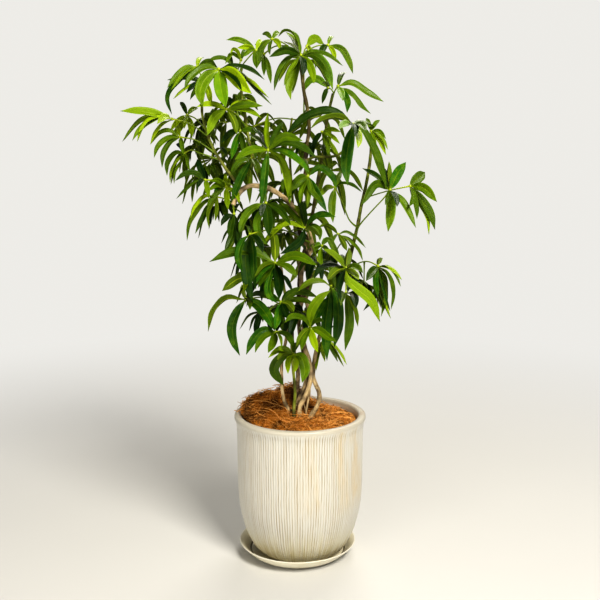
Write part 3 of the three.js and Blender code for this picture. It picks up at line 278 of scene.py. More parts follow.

# The tone paints the light and shade on a leaflet as well as its own green.
# Compound leaves: node, stem, hub as view x, view y and depth, reach, leaflets and, for some, the view
# places that the stalk passes from the stem on. The reach is the length of a full leaflet in millimetres.
# Each leaflet is its visible width in millimetres, its tone, and view x and y from the hub to the tip.
# "olive" shows the underside. "back" points away from the front. A leaf with no stem joins the first
# leaf of its node.
LEAF_ROWS = [
    ("leaf_far_left", "branch_far_left", [172, 119, -20], 100, [
        [13, "light", 146, 112, 120, 111], [6, "bright", 160, 117, 146, 124, 137, 142],
        [5, "mid", 158, 115, 140, 123, 122, 142], [9, "mid", 160, 118, 142, 129, 132, 141],
        [5, "bright", 150, 145], [8, "bright", 157, 124],
    ]),
    ("leaf_left_crown", "branch_far_left", [197, 67, 10], 75, [
        [10, "mid", 189, 67, 180, 73, 167, 88], [7, "light", 186, 72, 179, 80, 171, 90],
        [9, "teal", 180, 80, 168, 97, 172, 115], [8, "bright back", 203, 58],
        [9, "dim", 210, 62, 218, 68],
    ]),
    ("leaf_left_crown_back", "branch_far_left", [206, 84, 48], 80, [
        [9, "dark", 190, 78, 167, 80], [5, "bright", 190, 87, 173, 99], [8, "deep", 186, 93],
        [7, "dim", 190, 100], [10, "bright", 212, 106], [9, "deep back", 214, 70],
    ]),
    ("leaf_big_left", "branch_upper_left", [219, 69, -50], 92, [
        [11, "dim", 208, 67, 200, 70, 190, 79, 184, 90], [20, "mid", 206, 78, 200, 92, 203, 107],
        [22, "pale", 221, 88, 226, 108], [22, "bright", 232, 74, 243, 86, 252, 94],
        [6, "deep", 234, 80, 242, 91], [7, "dark", 232, 66, 250, 70, 265, 80],
        [6, "dim", 238, 73, 255, 90, 272, 105], [5, "bright", 245, 80, 269, 98],
    ]),
    ("leaf_small_top_left", "branch_upper_left", [233, 66, 14], 56, [
        [7, "dim", 225, 59, 218, 58, 206, 62], [6, "mid", 238, 78], [7, "dark back", 228, 54],
    ]),
    ("leaf_small_top_left", None, [241, 60, 18], 46, [
        [6, "bright", 237, 51, 233, 49, 230, 54], [6, "mid", 232, 54, 225, 64], [7, "dim back", 246, 49],
    ]),
    ("leaf_upper_left", "branch_upper_left", [256, 50, -14], 58, [
        [9, "mid", 245, 42, 235, 39, 226, 40], [9, "bright", 246, 47, 237, 48],
        [8, "mid", 250, 50, 243, 57], [8, "dim", 255, 58, 257, 69], [8, "bright back", 262, 40],
    ], [[241, 68], [250, 56]]),
    ("leaf_crown_left", "stem_main", [272, 39, 24], 56, [
        [11, "dim", 264, 44, 259, 55, 258, 66], [6, "dim", 270, 47, 270, 55],
        [9, "bright", 278, 42, 281, 50], [8, "mid back", 280, 33], [8, "mid back", 262, 34],
    ]),
    ("leaf_crown_left", None, [264, 54, 52], 60, [
        [9, "dim", 264, 76], [9, "mid", 268, 66, 271, 84], [7, "mid", 257, 68], [8, "dim back", 255, 44],
    ]),
    ("leaf_crown", "stem_main", [301, 55, -34], 92, [
        [13, "dark", 285, 50, 269, 57], [9, "dim", 290, 58, 280, 72, 274, 91],
        [8, "light", 291, 70, 284, 86], [15, "light", 293, 72, 289, 88, 291, 100],
        [11, "deep", 303, 66, 302, 76], [13, "light", 309, 64, 313, 75, 314, 84],
        [15, "pale", 314, 55, 325, 65, 333, 90], [6, "dim", 313, 52, 327, 56, 343, 66],
        [10, "light back", 293, 38, 286, 32], [5, "dim back", 293, 34, 285, 31, 278, 37],
        [5, "bright back", 292, 46, 283, 41],
    ]),
    ("leaf_crown_right", "stem_main", [307, 46, 22], 56, [
        [15, "light back", 314, 39, 324, 44], [10, "dim back", 311, 40, 315, 34], [8, "bright", 312, 58],
    ]),
    ("leaf_crown_right", None, [328, 45, 6], 58, [
        [11, "dark", 323, 48, 320, 58], [8, "bright", 333, 51, 336, 61],
        [11, "dim", 341, 49, 349, 62, 353, 74], [7, "mid back", 334, 37],
    ]),
    ("leaf_upper_right", "stem_brown", [338, 86, -2], 88, [
        [11, "pale", 341, 92, 343, 101], [11, "mid", 352, 83, 368, 93, 384, 102],
        [8, "dim", 352, 96, 361, 107, 371, 114], [11, "blue", 347, 101, 347, 113],
        [9, "dim back", 346, 72],
    ]),
    ("leaf_upper_right", None, [328, 88, 34], 54, [
        [13, "pale", 318, 79, 310, 80, 304, 91], [6, "dark back", 333, 80], [6, "dim", 322, 83],
        [8, "dark", 322, 104],
    ]),
    ("leaf_left_upper", "branch_far_left", [187, 115, 30], 54, [
        [11, "bright", 180, 127, 170, 141], [9, "bright", 178, 121, 170, 131], [8, "bright", 184, 129],
        [11, "bright", 191, 126, 192, 138], [8, "dark back", 180, 102], [8, "light back", 198, 108],
    ]),
    ("leaf_left_mid", "branch_far_left", [180, 137, -6], 62, [
        [9, "mid", 169, 138, 158, 147, 154, 158], [9, "dim", 171, 142, 164, 153, 162, 168],
        [7, "mid", 168, 131, 158, 135, 151, 144], [8, "dim", 184, 156], [8, "bright back", 176, 124],
    ]),
    ("leaf_left_dark", "branch_far_left", [185, 153, 24], 62, [
        [9, "dim", 176, 153, 168, 163, 167, 176], [5, "bright", 180, 158, 172, 170, 170, 183],
        [5, "mid", 182, 162, 176, 172, 174, 184], [6, "mid", 190, 172], [8, "deep back", 176, 144],
    ], [[200, 153], [191, 150]]),
    ("leaf_left_yellow", "branch_far_left", [205, 180, -48], 64, [
        [9, "dark", 195, 173, 185, 174, 175, 181], [5, "dim", 197, 181, 187, 189, 176, 199],
        [11, "deep back", 201, 170, 197, 159], [6, "deep", 197, 189],
        [9, "olive back", 196, 174, 188, 171], [9, "light", 209, 199],
    ]),
    ("leaf_star", "branch_upper_left", [268, 150, -112], 100, [
        [9, "light back", 268, 131, 268, 112], [11, "dark back", 275, 138, 283, 121],
        [12, "mid", 285, 137, 303, 141], [12, "dark", 285, 143, 300, 147, 317, 158],
        [11, "teal", 284, 152, 299, 162, 310, 173], [13, "light", 278, 157, 286, 178, 290, 205],
        [13, "blue", 266, 168, 262, 206], [12, "mid", 252, 150, 234, 160],
        [8, "mid back", 258, 140, 248, 134], [7, "deep back", 260, 136, 252, 127],
    ]),
    ("leaf_left_inner", "branch_upper_left", [227, 109, -44], 78, [
        [15, "light", 215, 117, 207, 136], [6, "bright back", 242, 102, 257, 103],
        [11, "mid", 245, 105, 263, 106], [11, "olive", 234, 121, 237, 135],
        [9, "light", 245, 110, 262, 118], [9, "bright", 210, 104, 196, 107],
    ]),
    ("leaf_left_centre", "branch_upper_left", [240, 131, -10], 78, [
        [11, "teal", 235, 145, 231, 160], [8, "pale", 250, 130, 259, 134],
        [10, "dark", 230, 133, 221, 143], [10, "dark", 246, 160], [9, "mid back", 236, 114],
    ]),
    ("leaf_left_centre", None, [252, 158, -52], 86, [
        [13, "blue", 243, 174, 236, 190, 232, 204], [10, "dim", 260, 180], [9, "dim", 240, 162, 230, 176],
    ]),
    ("leaf_left_low_inner", "stem_twist", [226, 187, -34], 58, [
        [9, "mid", 216, 185, 208, 191], [9, "mid", 217, 180, 209, 181], [10, "light", 227, 199, 228, 210],
        [9, "mid", 216, 194, 206, 207], [8, "bright", 236, 193, 240, 204], [8, "bright back", 224, 173],
    ]),
    ("leaf_right_high", "branch_right", [353, 124, -84], 112, [
        [13, "dark", 340, 115, 325, 112, 306, 118, 284, 137], [11, "olive", 337, 117, 320, 121, 310, 129],
        [9, "pale", 346, 124, 339, 129], [19, "blue", 348, 148, 346, 168, 348, 186],
        [11, "bright", 357, 134, 358, 148], [5, "dim back", 364, 123, 375, 127],
        [7, "dim", 360, 124, 366, 131], [13, "dim", 361, 128, 371, 145, 380, 168, 387, 190],
        [8, "deep", 355, 137],
    ]),
    ("leaf_right_small", "stem_right", [371, 131, -10], 48, [
        [6, "mid", 379, 131, 386, 139], [8, "bright", 380, 141, 386, 155],
        [5, "light", 381, 137, 388, 150], [7, "mid", 376, 150], [7, "mid back", 366, 118],
        [7, "mid back", 380, 120],
    ]),
    ("leaf_right_inner", "stem_brown", [322, 132, 12], 58, [
        [8, "light", 332, 129, 341, 132], [7, "light", 333, 139], [7, "light", 331, 136, 340, 144],
        [8, "mid", 327, 145, 329, 159], [8, "light", 330, 144, 340, 158], [9, "deep", 316, 139, 312, 149],
    ]),
    ("leaf_centre", "stem_main", [308, 176, -74], 80, [
        [11, "blue", 320, 168, 332, 177, 337, 190], [15, "dim", 299, 180, 292, 191],
        [13, "blue", 315, 190, 327, 212], [10, "dim", 312, 192, 323, 203],
        [10, "olive", 308, 192, 307, 208], [9, "mid", 302, 190, 300, 204],
        [10, "dark", 296, 186, 288, 201], [9, "dim back", 301, 158],
    ]),
    ("leaf_centre_right", "stem_right", [335, 187, -34], 72, [
        [13, "mid", 332, 204, 333, 223], [5, "dark", 341, 184, 350, 185, 362, 192],
        [9, "light", 326, 188, 320, 197], [8, "blue back", 330, 172], [8, "mid back", 342, 172],
    ], [[350, 221], [343, 204]]),
    ("leaf_right_big", "stem_right", [390, 190, -72], 92, [
        [17, "teal back", 398, 173, 406, 162], [9, "olive back", 388, 174, 389, 161],
        [13, "dim", 376, 184, 362, 205], [10, "deep back", 385, 176, 382, 165],
        [10, "mid", 402, 201, 416, 228], [16, "mid", 391, 208, 388, 232], [8, "dim", 387, 197, 385, 205],
        [8, "deep", 395, 196, 397, 207], [9, "dark back", 376, 176, 362, 168],
    ], [[359, 226], [370, 213], [384, 198]]),
    ("leaf_right_outer", "stem_right", [410, 186, -46], 84, [
        [15, "mid", 424, 188, 437, 202], [14, "dim", 420, 198, 430, 213, 435, 230],
        [7, "bright", 417, 202, 426, 218, 429, 235], [9, "dim", 415, 203, 417, 219],
        [18, "dim back", 418, 178, 425, 172], [8, "dim", 413, 196, 409, 207],
    ], [[363, 200], [384, 192]]),
    ("leaf_right_low_front", "stem_right", [346, 268, -114], 108, [
        [10, "light", 335, 257, 323, 249], [11, "olive back", 347, 258, 349, 247],
        [13, "olive", 338, 270, 327, 280], [7, "deep", 330, 266, 320, 270, 314, 279],
        [10, "deep", 340, 280, 338, 290, 341, 302], [17, "light", 347, 279, 356, 288, 370, 300, 380, 322],
        [7, "dim", 354, 267, 363, 273], [11, "bright", 353, 273, 359, 280],
    ]),
    ("leaf_right_low_front", None, [346, 293, -76], 106, [
        [15, "dim", 349, 320, 345, 351], [8, "olive", 351, 302, 355, 312, 358, 327],
        [11, "deep", 353, 294, 356, 309], [9, "dim", 341, 306],
    ]),
    ("leaf_right_low", "stem_right", [378, 266, -40], 84, [
        [5, "bright", 389, 269, 402, 280], [4, "mid", 386, 266, 394, 274, 401, 287],
        [7, "dim", 386, 273, 392, 290, 391, 310], [9, "mid", 383, 277, 384, 298, 381, 317],
        [5, "bright", 379, 290, 384, 305, 391, 319], [5, "blue", 383, 290, 388, 307],
        [14, "dark", 372, 272, 366, 281], [10, "dark", 378, 282, 371, 300, 363, 311],
        [10, "blue", 375, 280, 378, 298], [9, "olive back", 381, 258],
    ], [[362, 262], [370, 262]]),
    ("leaf_right_mid_small", "stem_right", [338, 234, -24], 56, [
        [5, "mid", 346, 232, 356, 238, 366, 248], [9, "olive", 342, 240, 347, 251],
        [6, "mid", 349, 241, 358, 251, 363, 261], [4, "mid", 333, 243],
        [7, "olive", 332, 228, 325, 225, 317, 228],
    ]),
    ("leaf_small_star", "stem_brown", [322, 246, -84], 54, [
        [10, "dim", 328, 239, 334, 248, 340, 259], [8, "mid", 320, 257, 323, 268], [5, "pale", 314, 247],
        [5, "pale back", 328, 238], [6, "dim", 314, 252], [7, "dim", 331, 256],
    ]),
    ("leaf_fan_centre", "stem_twist", [305, 228, -64], 92, [
        [10, "mid back", 291, 214, 279, 200], [9, "pale back", 293, 216, 281, 206],
        [10, "bright back", 299, 212, 289, 203], [11, "dark back", 303, 212, 298, 197],
        [9, "blue", 312, 220, 321, 215, 336, 217], [7, "dim", 312, 226, 318, 230, 320, 241],
        [7, "olive", 311, 230, 320, 236], [9, "bright", 289, 224, 278, 229, 269, 238, 260, 248],
        [14, "deep", 301, 240, 290, 249, 280, 254],
    ]),
    ("leaf_left_hanging", "stem_twist", [250, 234, -118], 114, [
        [17, "blue", 246, 250, 247, 276, 253, 304], [11, "deep", 256, 240, 263, 253],
        [11, "blue", 243, 241, 239, 256, 243, 273], [5, "mid back", 257, 230], [5, "pale back", 242, 227],
        [13, "blue", 253, 250, 254, 270, 256, 290],
    ]),
    ("leaf_left_low_front", "stem_green", [275, 263, -118], 110, [
        [16, "dim", 254, 252, 232, 253, 209, 262], [14, "mid", 296, 256, 318, 266],
        [10, "olive", 265, 266, 254, 277], [11, "dim", 268, 272, 258, 288],
        [11, "teal", 270, 276, 268, 292, 277, 303], [16, "deep", 279, 280, 279, 300],
        [15, "olive back", 275, 245, 272, 225], [10, "mid", 287, 267, 297, 278],
        [9, "blue", 265, 272, 256, 284],
    ]),
    ("leaf_low_left", "stem_pale", [246, 299, -62], 104, [
        [9, "olive", 238, 299, 226, 299, 214, 312, 208, 332],
        [16, "blue", 241, 306, 233, 324, 234, 340, 240, 356], [18, "teal", 258, 305, 268, 317, 275, 331],
        [7, "dark", 258, 295, 270, 298], [4, "mid", 250, 310], [8, "bright back", 240, 288],
    ]),
    ("leaf_low_left", None, [248, 278, -88], 62, [
        [15, "olive", 238, 279, 222, 291], [10, "olive back", 242, 274, 236, 274], [9, "light", 244, 292],
    ]),
    ("leaf_low_front", "stem_green", [276, 332, -98], 84, [
        [14, "blue", 264, 330, 253, 340, 246, 355], [10, "dim", 264, 337, 258, 345, 255, 353],
        [13, "mid", 273, 342, 268, 353], [9, "dim", 287, 335, 295, 350], [4, "light", 282, 348],
        [9, "deep back", 284, 322],
    ]),
    ("leaf_low_centre", "stem_pale", [281, 302, -84], 70, [
        [14, "teal", 279, 313, 275, 330], [11, "blue back", 270, 294, 268, 282],
        [13, "dim", 297, 291, 318, 297], [9, "dim", 299, 300, 316, 305],
        [13, "olive", 288, 304, 294, 312], [12, "deep", 285, 311, 289, 320],
        [8, "dark back", 289, 293, 298, 289],
    ]),
    ("leaf_low_right", "stem_main", [310, 327, -124], 90, [
        [15, "light", 311, 312, 319, 299, 331, 290], [6, "dim back", 303, 318, 295, 309],
        [8, "dim", 302, 319, 292, 317, 284, 323], [13, "mid", 320, 331, 328, 337, 337, 342],
        [12, "bright", 313, 339, 318, 353], [10, "mid", 305, 337, 301, 351],
        [6, "dim", 318, 321, 324, 321], [15, "blue back", 319, 311, 328, 297],
        [9, "olive", 302, 335, 296, 347],
    ]),
    ("leaf_low_right_hanging", "stem_right", [331, 286, -58], 108, [
        [8, "light", 320, 281, 308, 284, 297, 292], [19, "blue", 328, 304, 325, 332, 327, 361],
        [18, "blue", 337, 300, 338, 324, 334, 348], [6, "deep", 337, 290, 341, 306],
        [8, "bright back", 338, 276],
    ]),
    ("leaf_left_drooping", "stem_twist", [217, 197, -40], 94, [
        [6, "bright", 206, 197, 196, 208, 190, 219], [8, "mid", 207, 202, 197, 213, 190, 226, 187, 241],
        [9, "dark", 208, 210, 202, 222, 195, 234], [7, "olive", 209, 213, 209, 228],
        [7, "olive", 218, 209, 215, 221], [10, "teal back", 222, 184],
    ]),
    ("leaf_left_dark_low", "stem_twist", [234, 214, -76], 88, [
        [9, "deep", 227, 218, 221, 226], [11, "dark", 233, 234, 224, 254],
        [9, "dark", 238, 229, 239, 245], [7, "deep back", 241, 204], [11, "dark", 231, 226, 230, 240],
    ]),
    ("leaf_centre_low", "stem_pale", [266, 203, -94], 84, [
        [12, "dim", 251, 210, 242, 224, 240, 237], [16, "dark", 268, 219, 269, 237],
        [10, "deep", 262, 209, 261, 217], [12, "pale", 257, 226, 268, 246],
        [12, "dark", 279, 209, 291, 225], [9, "dim back", 258, 190],
    ]),
    ("leaf_base", "stem_brown", [293, 354, -84], 78, [
        [6, "bright", 281, 350, 268, 358], [17, "dim", 282, 357, 274, 369, 284, 386],
        [18, "mid", 301, 357, 305, 369, 302, 383], [10, "bright", 288, 362, 288, 374],
        [12, "olive", 284, 353, 277, 360], [8, "bright", 296, 363, 294, 373], [9, "dim back", 300, 343],
        [9, "light", 284, 349, 274, 349],
    ]),
    ("leaf_low_right_back", "stem_right", [325, 338, 25], 82, [
        [5, "bright", 337, 350, 347, 365], [5, "olive", 334, 351, 344, 367],
        [5, "dim", 331, 351, 338, 362], [8, "bright", 322, 349, 325, 362],
        [9, "bright", 319, 351, 316, 371], [9, "deep back", 334, 326],
    ]),
]

# Whole whorls on the side that the front view hides: node, stem, hub, reach and count of leaflets.
BACK_WHORLS = [
    ("shoot_back_high", "branch_back", [320, 116, 112], 78, 6),
    ("shoot_back_high", None, [254, 126, 128], 80, 7),
    ("shoot_back_high", None, [304, 60, 92], 66, 7),
    ("shoot_back_middle", "branch_back", [288, 136, 168], 92, 7),
    ("shoot_back_middle", None, [252, 160, 142], 84, 7),
    ("shoot_back_middle", None, [328, 170, 138], 88, 7),
    ("shoot_back_low", "branch_back", [300, 214, 184], 92, 7),
    ("shoot_back_low", None, [262, 226, 150], 84, 6),
    ("shoot_back_low", None, [318, 268, 146], 88, 7),
    ("shoot_back_left", "branch_far_left", [226, 122, 82], 80, 6),
    ("shoot_back_left", None, [212, 158, 74], 78, 6),
]

# Whole whorls deep in the crown, behind the listed leaves.
INNER_WHORLS = [
    ("leaf_left_upper", None, [206, 122, 62], 74, 6),
    ("leaf_left_mid", None, [196, 146, 52], 72, 6),
    ("leaf_left_dark", None, [207, 170, 34], 70, 6),
    ("leaf_left_inner", None, [234, 101, 52], 74, 6),
    ("leaf_left_centre", None, [243, 148, 44], 76, 6),
    ("leaf_left_low_inner", None, [230, 174, 20], 72, 6),
    ("leaf_left_drooping", None, [221, 205, 16], 68, 6),
    ("leaf_left_dark_low", None, [246, 222, -8], 76, 6),
    ("leaf_centre_low", None, [264, 206, -16], 74, 6),
    ("leaf_fan_centre", None, [284, 236, 40], 78, 7),
    ("leaf_left_hanging", None, [254, 254, -30], 76, 6),
    ("leaf_left_low_front", None, [266, 280, -30], 74, 6),
    ("leaf_low_centre", None, [268, 312, -14], 72, 6),
    ("leaf_centre", None, [290, 184, 44], 78, 7),
    ("leaf_small_star", None, [318, 262, -14], 72, 6),
    ("leaf_right_mid_small", None, [334, 256, 36], 70, 6),
    ("leaf_low_right", None, [304, 312, -44], 74, 6),
    ("leaf_low_right_hanging", None, [350, 278, 20], 74, 6),
    ("leaf_right_low", None, [364, 284, 10], 66, 6),
    ("leaf_right_inner", None, [316, 148, 52], 70, 6),
]


def with_keys(rows, *keys):
    return [dict(zip(keys, row)) for row in rows]


STEMS = with_keys(STEM_ROWS, "node", "rooted", "radius", "path")
LEAVES = with_keys(LEAF_ROWS, "node", "stem", "hub", "reach", "leaflets", "stalk")
BACK_LEAVES = with_keys(BACK_WHORLS, "node", "stem", "hub", "reach", "count")
INNER_LEAVES = with_keys(INNER_WHORLS, "node", "stem", "hub", "reach", "count")


# ---- Paths in the front view ----
def from_view(x, y, depth):
    """The place in millimetres that the front view shows at x, y when it lies at this depth."""
    cos = math.cos(VIEW_PITCH)
    sin = math.sin(VIEW_PITCH)
    rise = (VIEW_CENTRE - y) / VIEW_FOCAL
    away = depth - VIEW_PLACE.y
    climb = away * (rise * cos - sin) / (cos + rise * sin)
    reach = away * cos - climb * sin
    return Vector((VIEW_PLACE.x + (x - VIEW_CENTRE) * reach / VIEW_FOCAL, depth, VIEW_PLACE.z + climb))


def view_scale(place):
    """Millimetres per view step at a place."""
    away = place.y - VIEW_PLACE.y
    climb = place.z - VIEW_PLACE.z
    return (away * math.cos(VIEW_PITCH) - climb * math.sin(VIEW_PITCH)) / VIEW_FOCAL


def vary(first, second):
    """A steady value from -1 to 1 for each pair of numbers."""
    wave = math.sin(first * 12.9898 + second * 78.233) * 43758.5453
    return 2 * (wave - math.floor(wave)) - 1


def square_to(vector, along):
    return (vector - along * vector.dot(along)).normalized()


def curve_point(stops, share):
    """A point of the smooth curve through the stops, share of the way through their list."""
    last = len(stops) - 1
    at = min(int(share * last), last - 1)
    weight = share * last - at
    near, far = stops[at], stops[at + 1]
    before = stops[at - 1] if at else near * 2 - far
    after = stops[at + 2] if at + 2 <= last else far * 2 - near
    step = max((far - near).length ** 0.5, 1e-4)
    step_before = (near - before).length ** 0.5 or step
    step_after = (after - far).length ** 0.5 or step
    leaving = (
        (near - before) / step_before - (far - before) / (step_before + step) + (far - near) / step
    ) * step
    arriving = (far - near) / step - (after - near) / (step + step_after) + (after - far) / step_after
    arriving = arriving * step
    bend = (far - near) * 3 - leaving * 2 - arriving
    twist = (near - far) * 2 + leaving + arriving
    return near + leaving * weight + bend * weight**2 + twist * weight**3


def smooth_path(stops, count):
    """count + 1 places evenly spaced along the smooth curve through the stops."""
    fine = CURVE_STEPS * (len(stops) - 1)
    points = [curve_point(stops, at / fine) for at in range(fine + 1)]
    reached = [0.0]
    for at in range(fine):
        reached.append(reached[-1] + (points[at + 1] - points[at]).length)
    places = []
    at = 0
    for step in range(count + 1):
        wanted = reached[-1] * step / count
        while at < fine - 1 and reached[at + 1] < wanted:
            at += 1
        share = (wanted - reached[at]) / max(reached[at + 1] - reached[at], 1e-9)
        places.append(points[at].lerp(points[at + 1], min(max(share, 0), 1)))
    return places


def path_length(places):
    return sum((after - before).length for before, after in zip(places, places[1:]))


def directions(places):
    ends = [places[0], *places, places[-1]]
    return [(ends[at + 2] - ends[at]).normalized() for at in range(len(places))]


# ---- Leaves: midribs, blade turns and stalks ----
def midrib(leaf, leaflet):
    """The leaflet's midrib. Its tip's depth follows from its true length and the length that shows."""
    tone, numbers = leaflet[1], leaflet[2:]
    hub = from_view(*leaf["hub"])
    stops = [tuple(leaf["hub"][:2])]
    stops += [(numbers[at], numbers[at + 1]) for at in range(0, len(numbers), 2)]
    reached = [0.0]
    for before, after in zip(stops, stops[1:]):
        reached.append(reached[-1] + math.dist(before, after) * view_scale(hub))
    shown = reached[-1]
    hidden = HIDDEN_SHARE * math.sqrt(max(0.0, leaf["reach"] ** 2 - shown**2))
    depth = hidden if "back" in tone else -hidden
    places = [
        from_view(x, y, leaf["hub"][2] + depth * far / shown) for (x, y), far in zip(stops, reached)
    ]
    if len(places) == 2:
        middle = places[0].lerp(places[1], 0.5)
        middle.z += BLADE_ARCH * (places[1] - places[0]).length
        places.insert(1, middle)
    return smooth_path(places, BLADE_STATIONS - 1)


def wanted_face(place, along, guide, shown_width, true_width, underside):
    """The blade's upper side is turned so that its visible width is right and it faces the guide most."""
    facing = square_to(VIEW_PLACE - place, along)
    sideways = along.cross(facing)
    turn = math.acos(min(1, shown_width / true_width))
    choices = [facing * math.cos(angle) + sideways * math.sin(angle) for angle in (turn, -turn)]
    if underside:
        choices = [-choice for choice in choices]
    return max(choices, key=guide.dot)


def blade_faces(places, anchor_face, wanted_at):
    """The direction of the blade's upper side at each station, turning little by little."""
    alongs = directions(places)
    faces = {ANCHOR_STATION: square_to(anchor_face, alongs[ANCHOR_STATION])}
    for order in (range(ANCHOR_STATION + 1, len(places)), range(ANCHOR_STATION - 1, -1, -1)):
        before = faces[ANCHOR_STATION]
        for at in order:
            along = alongs[at]
            carried = square_to(before, along)
            wanted = wanted_at(places[at], along, carried)
            angle = math.atan2(along.dot(carried.cross(wanted)), carried.dot(wanted))
            angle = max(-MOST_TWIST, min(MOST_TWIST, angle))
            before = carried * math.cos(angle) + along.cross(carried) * math.sin(angle)
            faces[at] = before
    return [faces[at] for at in range(len(places))]


def outward_of(hub):
    """The way that a whole leaf at this hub faces: away from the crown's axis and up."""
    return Vector((hub.x / CROWN_SPREAD[0], hub.y / CROWN_SPREAD[1], CROWN_RISE)).normalized()


def listed_blade(leaf, leaflet):
    """Midrib, faces, half width and look of one leaflet that the front view shows."""
    shown_width, tone = leaflet[:2]
    places = midrib(leaf, leaflet)
    true_width = max(shown_width, BLADE_ASPECT * path_length(places))
    underside = "olive" in tone
    alongs = directions(places)
    outward = outward_of(from_view(*leaf["hub"]))
    anchor = wanted_face(
        places[ANCHOR_STATION], alongs[ANCHOR_STATION], outward, shown_width, true_width, underside
    )
    faces = blade_faces(
        places,
        anchor,
        lambda place, along, guide: wanted_face(place, along, guide, shown_width, true_width, underside),
    )
    return places, faces, BLADE_FULLNESS * true_width / 2, tone.split()[0]


def spread_blade(leaf, order, small=False):
    """One leaflet of a whole whorl on a side that the front view hides, or a small one between two."""
    size, turn, sag = SMALL_BLADE if small else (1.0, 0.0, 0.0)
    usual, varied = WHORL_LENGTH
    drooping, droop_varied = WHORL_DROOP
    middle_out, middle_up, middle_sag = WHORL_MIDDLE
    hub = from_view(*leaf["hub"])
    outward = outward_of(hub)
    first = square_to(Vector((1, 0, 0)), outward)
    second = outward.cross(first)
    seed = leaf["hub"][0] + leaf["hub"][1]
    angle = 2 * math.pi * (order + turn + WHORL_TURN * vary(seed, order)) / leaf["count"]
    away = first * math.cos(angle) + second * math.sin(angle)
    length = size * leaf["reach"] * (usual + varied * vary(order, seed))
    droop = drooping + sag + droop_varied * vary(seed, order + 9)
    middle = hub + away * middle_out * length + outward * middle_up * length
    tip = hub + away * WHORL_TIP * length
    middle.z -= middle_sag * droop * length
    tip.z -= droop * length
    places = smooth_path([hub, middle, tip], BLADE_STATIONS - 1)
    faces = blade_faces(places, outward, lambda place, along, guide: square_to(outward, along))
    inner = leaf in INNER_LEAVES
    tones = INNER_PAINTED_SHADE_TONES if inner else BACK_TONES
    fullness = INNER_FULLNESS if inner else BLADE_FULLNESS
    return places, faces, fullness * WHORL_WIDTH * length, tones[order % len(tones)]


def stem_stops(stem):
    places = [from_view(*stop) for stop in stem["path"]]
    if stem["rooted"]:
        foot = places[0]
        places.insert(0, Vector((foot.x * 0.85 + 1, foot.y * 0.9, STEM_FOOT_Z)))
    return places


def stalk_start(leaf, stem):
    """Where on the stem a leaf stalk starts: near its first listed stop or its hub, but below it."""
    hub = from_view(*leaf["hub"])

    def distance(place):
        aim, rise = hub, PETIOLE_RISE
        if "stalk" in leaf:
            aim, rise = from_view(*leaf["stalk"][0], place.y), FORK_RISE
        return (place - aim).length + HIGH_START_COST * max(0, place.z - aim.z + rise)

    return min(smooth_path(stem_stops(stem), STEM_PLACES), key=distance)


def stalk_path(leaf, start):
    hub = from_view(*leaf["hub"])
    if "stalk" in leaf:
        stops = leaf["stalk"]
        shares = [(at + STALK_LEAD) / (len(stops) + STALK_LEAD) for at in range(len(stops))]
        places = [
            from_view(x, y, start.y + (hub.y - start.y) * share) for (x, y), share in zip(stops, shares)
        ]
    else:
        middle = start.lerp(hub, STALK_MIDDLE)
        middle.z += STALK_ARCH * (hub - start).length
        places = [middle]
    return smooth_path([start, *places, hub], STALK_STATIONS - 1)


# ---- Node trees ----
def both_ways(operation):
    """An operator on values in a node tree, and its reflected form."""

    def plain(self, other):
        return self.nodes.maths(operation, self, other)

    def reflected(self, other):
        return self.nodes.maths(operation, other, self)

    return plain, reflected


class Value:
    """One output in a node tree, with the usual arithmetic."""

    def __init__(self, nodes, socket):
        self.nodes = nodes
        self.socket = socket
        self.vector = socket.type in ("VECTOR", "RGBA")

    __add__, __radd__ = both_ways("ADD")
    __sub__, __rsub__ = both_ways("SUBTRACT")
    __mul__, __rmul__ = both_ways("MULTIPLY")
    __truediv__, __rtruediv__ = both_ways("DIVIDE")
    __pow__, __rpow__ = both_ways("POWER")

    @property
    def xyz(self):
        node = self.nodes.add("ShaderNodeSeparateXYZ", {}, {0: self})
        return [self.nodes.out(node, at) for at in range(3)]


